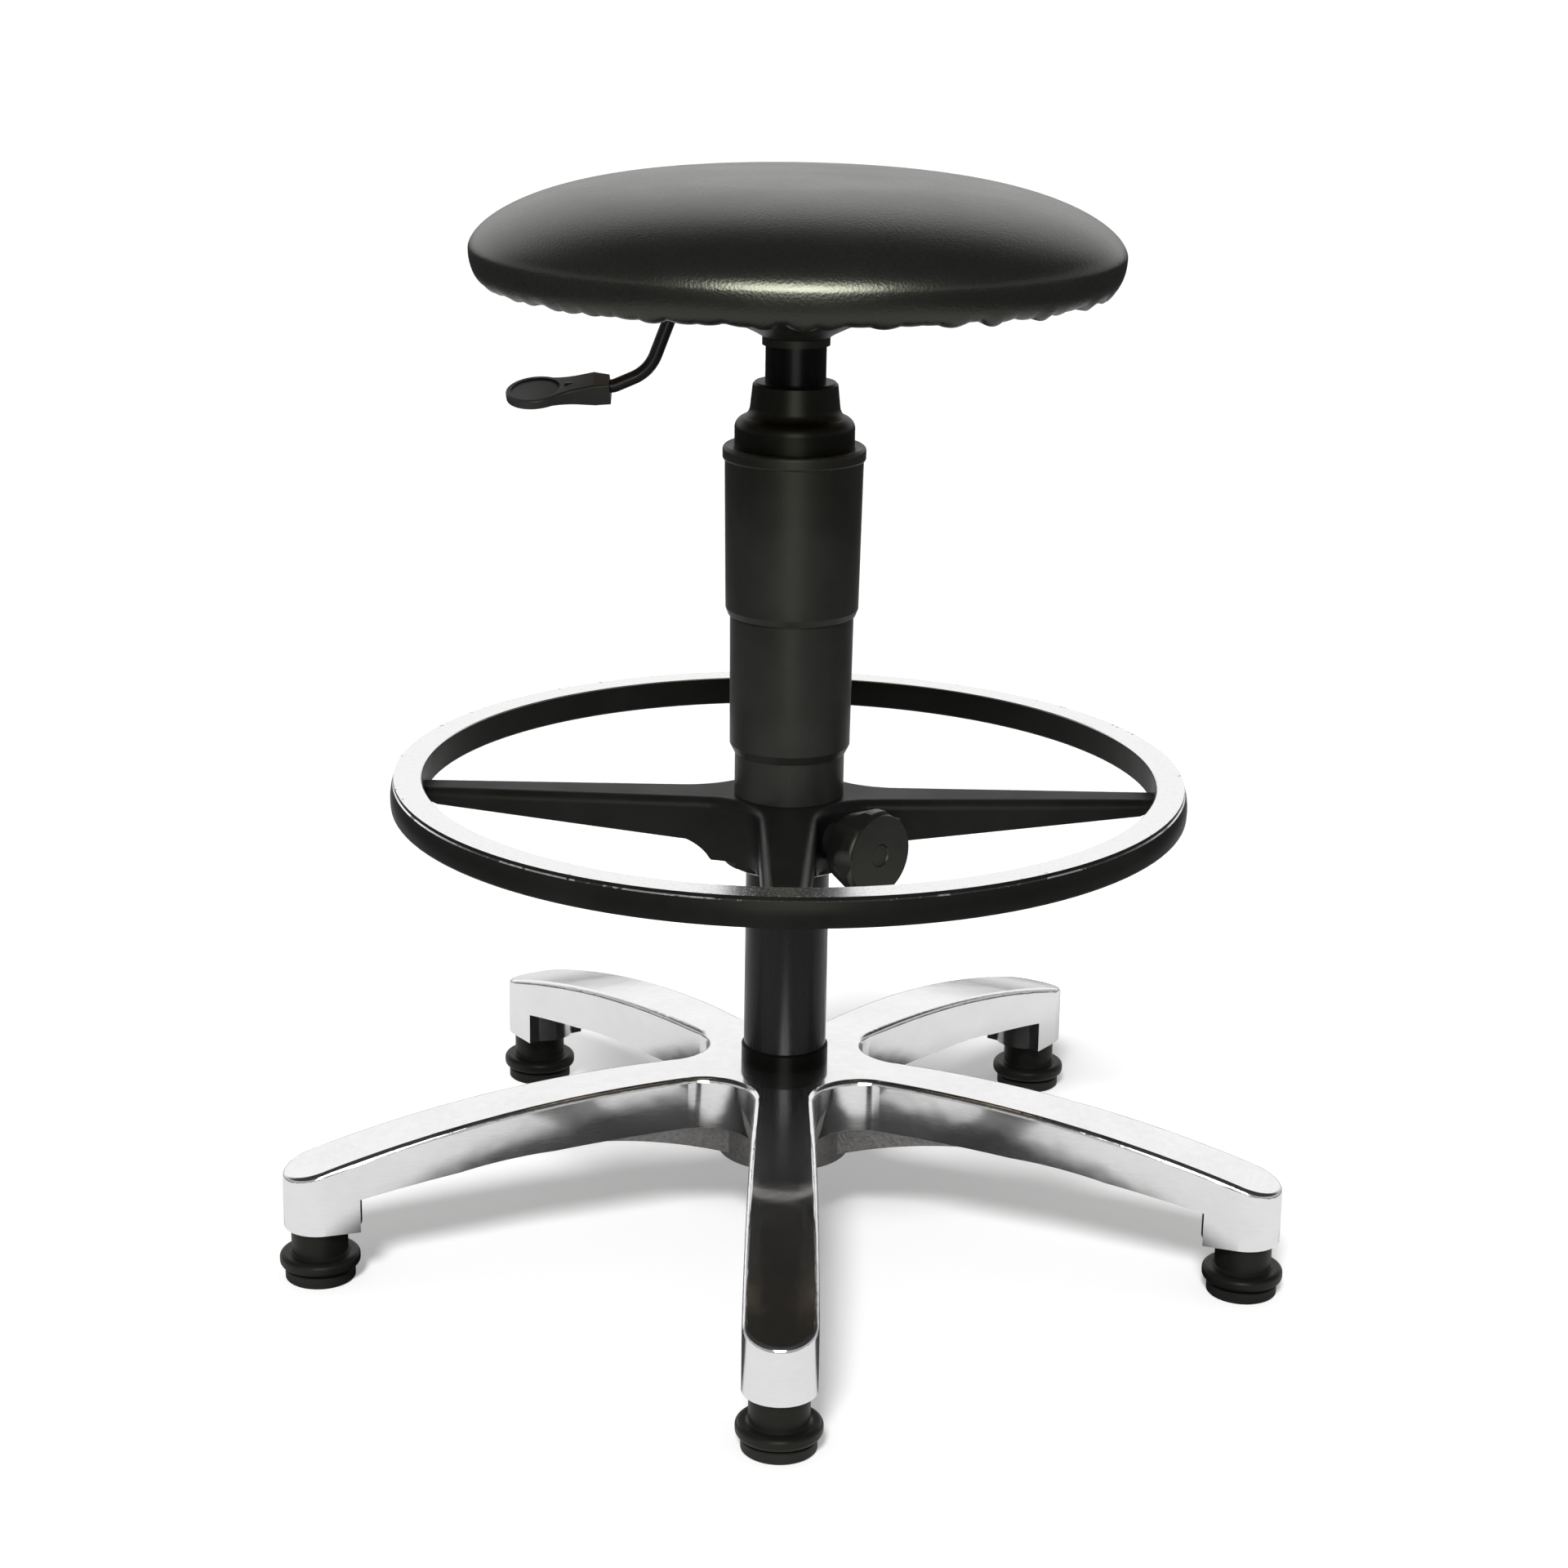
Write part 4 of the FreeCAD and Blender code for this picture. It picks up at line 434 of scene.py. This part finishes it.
def cushion_section():
    """Section from the middle of the top round the hem and back inside: reach, height, share of folds."""
    low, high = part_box("seat_cover")
    radius = high[0]
    base = low[2] + HEM_THICKNESS + SEAT_BELLY
    crown = high[2] - base
    first_reach, first_height = crown_point(CROWN_LIMIT, radius, crown, base)
    drop = high[2] - first_height
    curve = (first_reach**2 + drop**2) / (2 * drop)
    section = []
    for step in range(TOP_STEPS + 1):
        reach = first_reach * step / TOP_STEPS
        section.append((reach, high[2] - curve + math.sqrt(curve**2 - reach**2), 0.0))
    for step in range(1, SIDE_STEPS + 1):
        angle = CROWN_LIMIT * (1 - step / SIDE_STEPS)
        section.append((*crown_point(angle, radius, crown, base), 0.0))
    down = SEAT_BELLY + HEM_THICKNESS
    for step in range(1, TURN_STEPS + 1):
        turn = math.pi / 2 * step / TURN_STEPS
        reach = radius - HEM_TURN + HEM_TURN * math.cos(turn)
        height = base - down * math.sin(turn)
        gather = max(0.0, (step / TURN_STEPS - GATHER_START) / (1 - GATHER_START)) ** GATHER_POWER
        section.append((reach, height, gather))
    under = base - down
    inner = radius - HEM_REACH
    outer = radius - HEM_TURN
    for step in range(1, UNDER_STEPS + 1):
        share = step / UNDER_STEPS
        section.append((outer + (inner - outer) * share, under, 1.0 - 0.8 * share))
    section.append((inner, under + HEM_THICKNESS * 0.5, 0.1))
    section.append((inner + 0.0004, under + HEM_THICKNESS, 0.0))
    section.append((outer - 0.004, under + HEM_THICKNESS, 0.0))
    inside = radius - SKIN
    for step in range(1, INNER_TURN_STEPS + 1):
        turn = math.pi / 2 * step / INNER_TURN_STEPS
        reach = inside - HEM_TURN + HEM_TURN * math.sin(turn)
        section.append((reach, base - (down - SKIN) * math.cos(turn), 0.0))
    for step in range(1, INNER_SIDE_STEPS + 1):
        angle = CROWN_LIMIT * step / INNER_SIDE_STEPS
        section.append((*crown_point(angle, inside, crown - SKIN, base), 0.0))
    section.append((0.0, high[2] - SKIN, 0.0))
    return section


def make_folds():
    """Angle, height, half-width and lean of each gathered fold round the hem."""
    folds = []
    for index in range(PLEATS):
        angle = (index + seed.uniform(-0.3, 0.3)) * PLEAT_STEP
        calm = max(0.0, math.cos(angle - SMOOTH_SIDE)) ** 2
        height = seed.choice(FOLD_HEIGHTS) * seed.uniform(0.8, 1.15) * (1 - 0.4 * calm)
        width = PLEAT_STEP * seed.uniform(0.48, 0.66)
        folds.append((angle, height, width, seed.uniform(-1.5, 1.5)))
    return folds


def fold_depth(folds, angle, inward):
    """How far the cloth stands out at an angle, with the folds leaning as they run inward."""
    depth = 0.0
    near = round(angle / PLEAT_STEP)
    for offset in range(-3, 4):
        centre, height, width, lean = folds[(near + offset) % PLEATS]
        away = (angle - centre - lean * inward + math.pi) % (2 * math.pi) - math.pi
        if abs(away) < width:
            depth = max(depth, height * math.cos(away / width * math.pi / 2) ** 0.75)
    return depth


def finish_piece(mesh, name, slot):
    """Object made of a bmesh, shaded smooth, with the material of a slot."""
    for face in mesh.faces:
        face.smooth = True
    data = bpy.data.meshes.new(name)
    mesh.to_mesh(data)
    mesh.free()
    data.materials.append(MATERIALS[slot])
    piece = bpy.data.objects.new(name, data)
    bpy.context.collection.objects.link(piece)
    return piece


def make_cushion():
    """The upholstered pad: a taut crown whose skin is gathered into small folds under the board."""
    section = cushion_section()
    folds = make_folds()
    mesh = bmesh.new()
    rings = []
    edge = max(reach for reach, _, _ in section)
    for reach, height, gather in section:
        if reach == 0.0:
            rings.append([mesh.verts.new((0, 0, height))])
            continue
        loop = []
        for index in range(SLICES):
            angle = 2 * math.pi * index / SLICES
            z = height
            r = reach
            if gather > 0.0:
                depth = fold_depth(folds, angle, edge - reach) * gather
                z -= depth
                r += depth * 0.25 * gather
            loop.append(mesh.verts.new((r * math.cos(angle), r * math.sin(angle), z)))
        rings.append(loop)
    for one, two in zip(rings, rings[1:]):
        for index in range(SLICES):
            after = (index + 1) % SLICES
            if len(one) == 1:
                mesh.faces.new((one[0], two[index], two[after]))
            elif len(two) == 1:
                mesh.faces.new((one[index], two[0], one[after]))
            else:
                mesh.faces.new((one[index], two[index], two[after], one[after]))
    bmesh.ops.recalc_face_normals(mesh, faces=mesh.faces)
    return finish_piece(mesh, "seat_cushion", "leatherette")


def make_staples():
    """Wire staples that hold the hem to the board."""
    low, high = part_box("seat_cover")
    reach = high[0] - HEM_REACH + STAPLE_INSET
    mesh = bmesh.new()
    for index in range(STAPLES):
        angle = 2 * math.pi * (index + seed.uniform(-0.25, 0.25)) / STAPLES
        across = (reach + seed.uniform(-0.0015, 0.0015)) * math.cos(angle)
        spot = Vector((across, reach * math.sin(angle), low[2] - 0.0004))
        turn = Matrix.Rotation(angle + math.pi / 2 + seed.uniform(-0.5, 0.5), 4, "Z")
        made = bmesh.ops.create_cube(mesh, size=1)["verts"]
        bmesh.ops.scale(mesh, verts=made, vec=STAPLE_SIZE)
        bmesh.ops.transform(mesh, matrix=Matrix.Translation(spot) @ turn, verts=made)
    bmesh.ops.bevel(mesh, geom=list(mesh.edges), offset=0.00018, segments=2, affect="EDGES")
    return finish_piece(mesh, "hem_staples", "bright_steel")


cushion = make_cushion()
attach(cushion, "seat")
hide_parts("seat_cover")

staples = make_staples()
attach(staples, "seat")

# Floor, studio and lights

SUN = Vector((-0.5, -3.1, 3.0))
SUN_POWER = 3.0
SUN_SOFTNESS = math.radians(13)
SOFTBOX_TARGET = (0, 0, 0.6)
AMBIENT = 0.30
FLOOR_COLOUR = 0.85
FLOOR_GLOW = 0.26
BACKDROP = 0.97
FRONT_WALL = 0.36
SIDE_WALL = 0.45
DARK_GLOSS = 0.03
SEAT_HEIGHT = 0.60
RING_HEIGHT = 0.28
RING_REACH = 0.228


def shade_centre(height):
    """Where the sun throws the shade of a point on the column's axis."""
    return (-height * SUN.x / SUN.z, -height * SUN.y / SUN.z, 0.0)


def make_floor():
    """Pale floor that shows as white and keeps the stool's soft shadows.

    In gloss it carries painted shade: its mirror image is dimmer near the column, at the sides, in front,
    far behind and at the second bounce. For the camera it glows, with painted light added in the broad
    shadows of the seat and of the back of the ring, which lifts them towards white.
    """
    bpy.ops.mesh.primitive_plane_add(size=90, location=(0, 0, 0))
    floor = bpy.context.object
    floor.name = "floor"
    material = bpy.data.materials.new("floor")
    material.use_nodes = True
    n = Tree(material.node_tree)
    n.tree.nodes.clear()
    path = n.add("LightPath").outputs
    place = n.add("NewGeometry").outputs["Position"]
    x, y, _ = n.parts(place)
    # Painted shade: for gloss rays the floor is darkened near the column, at the sides, in front, far behind
    # and at the second bounce.
    squeezed = n.vector("MULTIPLY", place, (0.72, 1, 1))
    near = n.fade(n.distance(squeezed, (0, 0, 0)), 0.222, 0.250, 0.03, 1.0)
    beside = n.fade(n.math("ABSOLUTE", x), 0.50, 1.00, 1.0, 0.08)
    before = n.fade(y, -1.2, -0.5, 0.05, 1.0)
    behind = n.fade(y, 0.8, 2.0, 1.0, 0.6)
    second_bounce_shade = n.fade(path["Glossy Depth"], 1.4, 1.6, 1.0, 0.25)
    bright = n.between(path["Is Glossy Ray"], 1.0, n.product(near, beside, before, behind, second_bounce_shade))
    cloth = n.add("BsdfDiffuse", Color=n.product(bright, FLOOR_COLOUR))
    # Painted light: for the camera the floor glows more in the broad shadows of the seat and of the back of
    # the ring, lifting them towards white.
    seat_shadow_lift = n.fade(n.distance(place, shade_centre(SEAT_HEIGHT)), 0.14, 0.34, 0.6, 0.0)
    off_ring = n.math("SUBTRACT", n.distance(place, shade_centre(RING_HEIGHT)), RING_REACH)
    ring_shadow_lift = n.fade(n.math("ABSOLUTE", off_ring), 0.02, 0.08, 0.26, 0.0)
    back_only = n.fade(y, 0.10, 0.20, 0.0, 1.0)
    shade = n.math("ADD", seat_shadow_lift, n.product(ring_shadow_lift, back_only))
    glow = n.add("Emission", Strength=n.product(path["Is Camera Ray"], n.math("ADD", shade, FLOOR_GLOW)))
    both = n.add("AddShader")
    n.feed(both.inputs[0], cloth.outputs[0])
    n.feed(both.inputs[1], glow.outputs[0])
    n.add("OutputMaterial", Surface=both.outputs[0])
    floor.data.materials.append(material)


def make_world():
    """Studio light: even in diffuse light, and white for the camera.

    In gloss it has a white backdrop behind the stool and dimmer low walls in front and at the sides, and it
    is dark overhead.
    """
    world = bpy.data.worlds.new("studio")
    bpy.context.scene.world = world
    world.use_nodes = True
    n = Tree(world.node_tree)
    n.tree.nodes.clear()
    path = n.add("LightPath").outputs
    x, y, z = n.parts(n.add("TexCoord").outputs["Generated"])
    leftward = n.math("SUBTRACT", y, n.product(x, 0.12))
    behind = n.fade(leftward, 0.44, 0.80, 0.0, BACKDROP)
    horizon = n.fade(z, 0.02, 0.14, 0.6, 1.0)
    low = n.fade(z, 0.52, 0.70, 1.0, 0.0)
    walls = n.fade(y, -0.85, -0.60, FRONT_WALL, SIDE_WALL)
    skirt = n.fade(z, 0.28, 0.42, 1.0, 0.0)
    lit = n.math("MAXIMUM", n.product(behind, horizon, low), n.product(walls, skirt))
    unseen = n.between(path["Is Glossy Ray"], AMBIENT, n.math("ADD", lit, DARK_GLOSS))
    strength = n.between(path["Is Camera Ray"], unseen, 1.0)
    light = n.add("Background", Color=(1, 1, 1, 1), Strength=strength)
    n.add("OutputWorld", Surface=light.outputs[0])


def make_lamp(name, kind, spot, target, power):
    """Lamp that the camera doesn't see."""
    data = bpy.data.lights.new(name, kind)
    data.energy = power
    lamp = bpy.data.objects.new(name, data)
    bpy.context.collection.objects.link(lamp)
    lamp.location = spot
    lamp.rotation_euler = (Vector(target) - Vector(spot)).to_track_quat("-Z", "Y").to_euler()
    lamp.visible_camera = False
    return lamp


def make_sun():
    """Sun from the front that gives the shadows and doesn't show in gloss."""
    lamp = make_lamp("sun", "SUN", SUN, (0, 0, 0), SUN_POWER)
    lamp.data.angle = SUN_SOFTNESS
    lamp.visible_glossy = False


def make_softbox(name, spot, width, depth, power):
    """Softbox in front that shows in gloss only."""
    lamp = make_lamp(name, "AREA", spot, SOFTBOX_TARGET, power)
    lamp.data.shape = "RECTANGLE"
    lamp.data.size = width
    lamp.data.size_y = depth
    lamp.visible_diffuse = False
    return lamp


make_floor()
make_world()
make_sun()
make_softbox("front_softbox", (0, -2.2, 0.95), width=1.0, depth=1.5, power=24)

# The stronger softbox lights the cushion alone.
seat_sheen = make_softbox("seat_sheen", (0, -2.2, 1.55), width=1.9, depth=1.6, power=225)
sheen_on = bpy.data.collections.new("sheen_on")
sheen_on.objects.link(cushion)
seat_sheen.light_linking.receiver_collection = sheen_on

bpy.context.scene.view_settings.view_transform = "Standard"
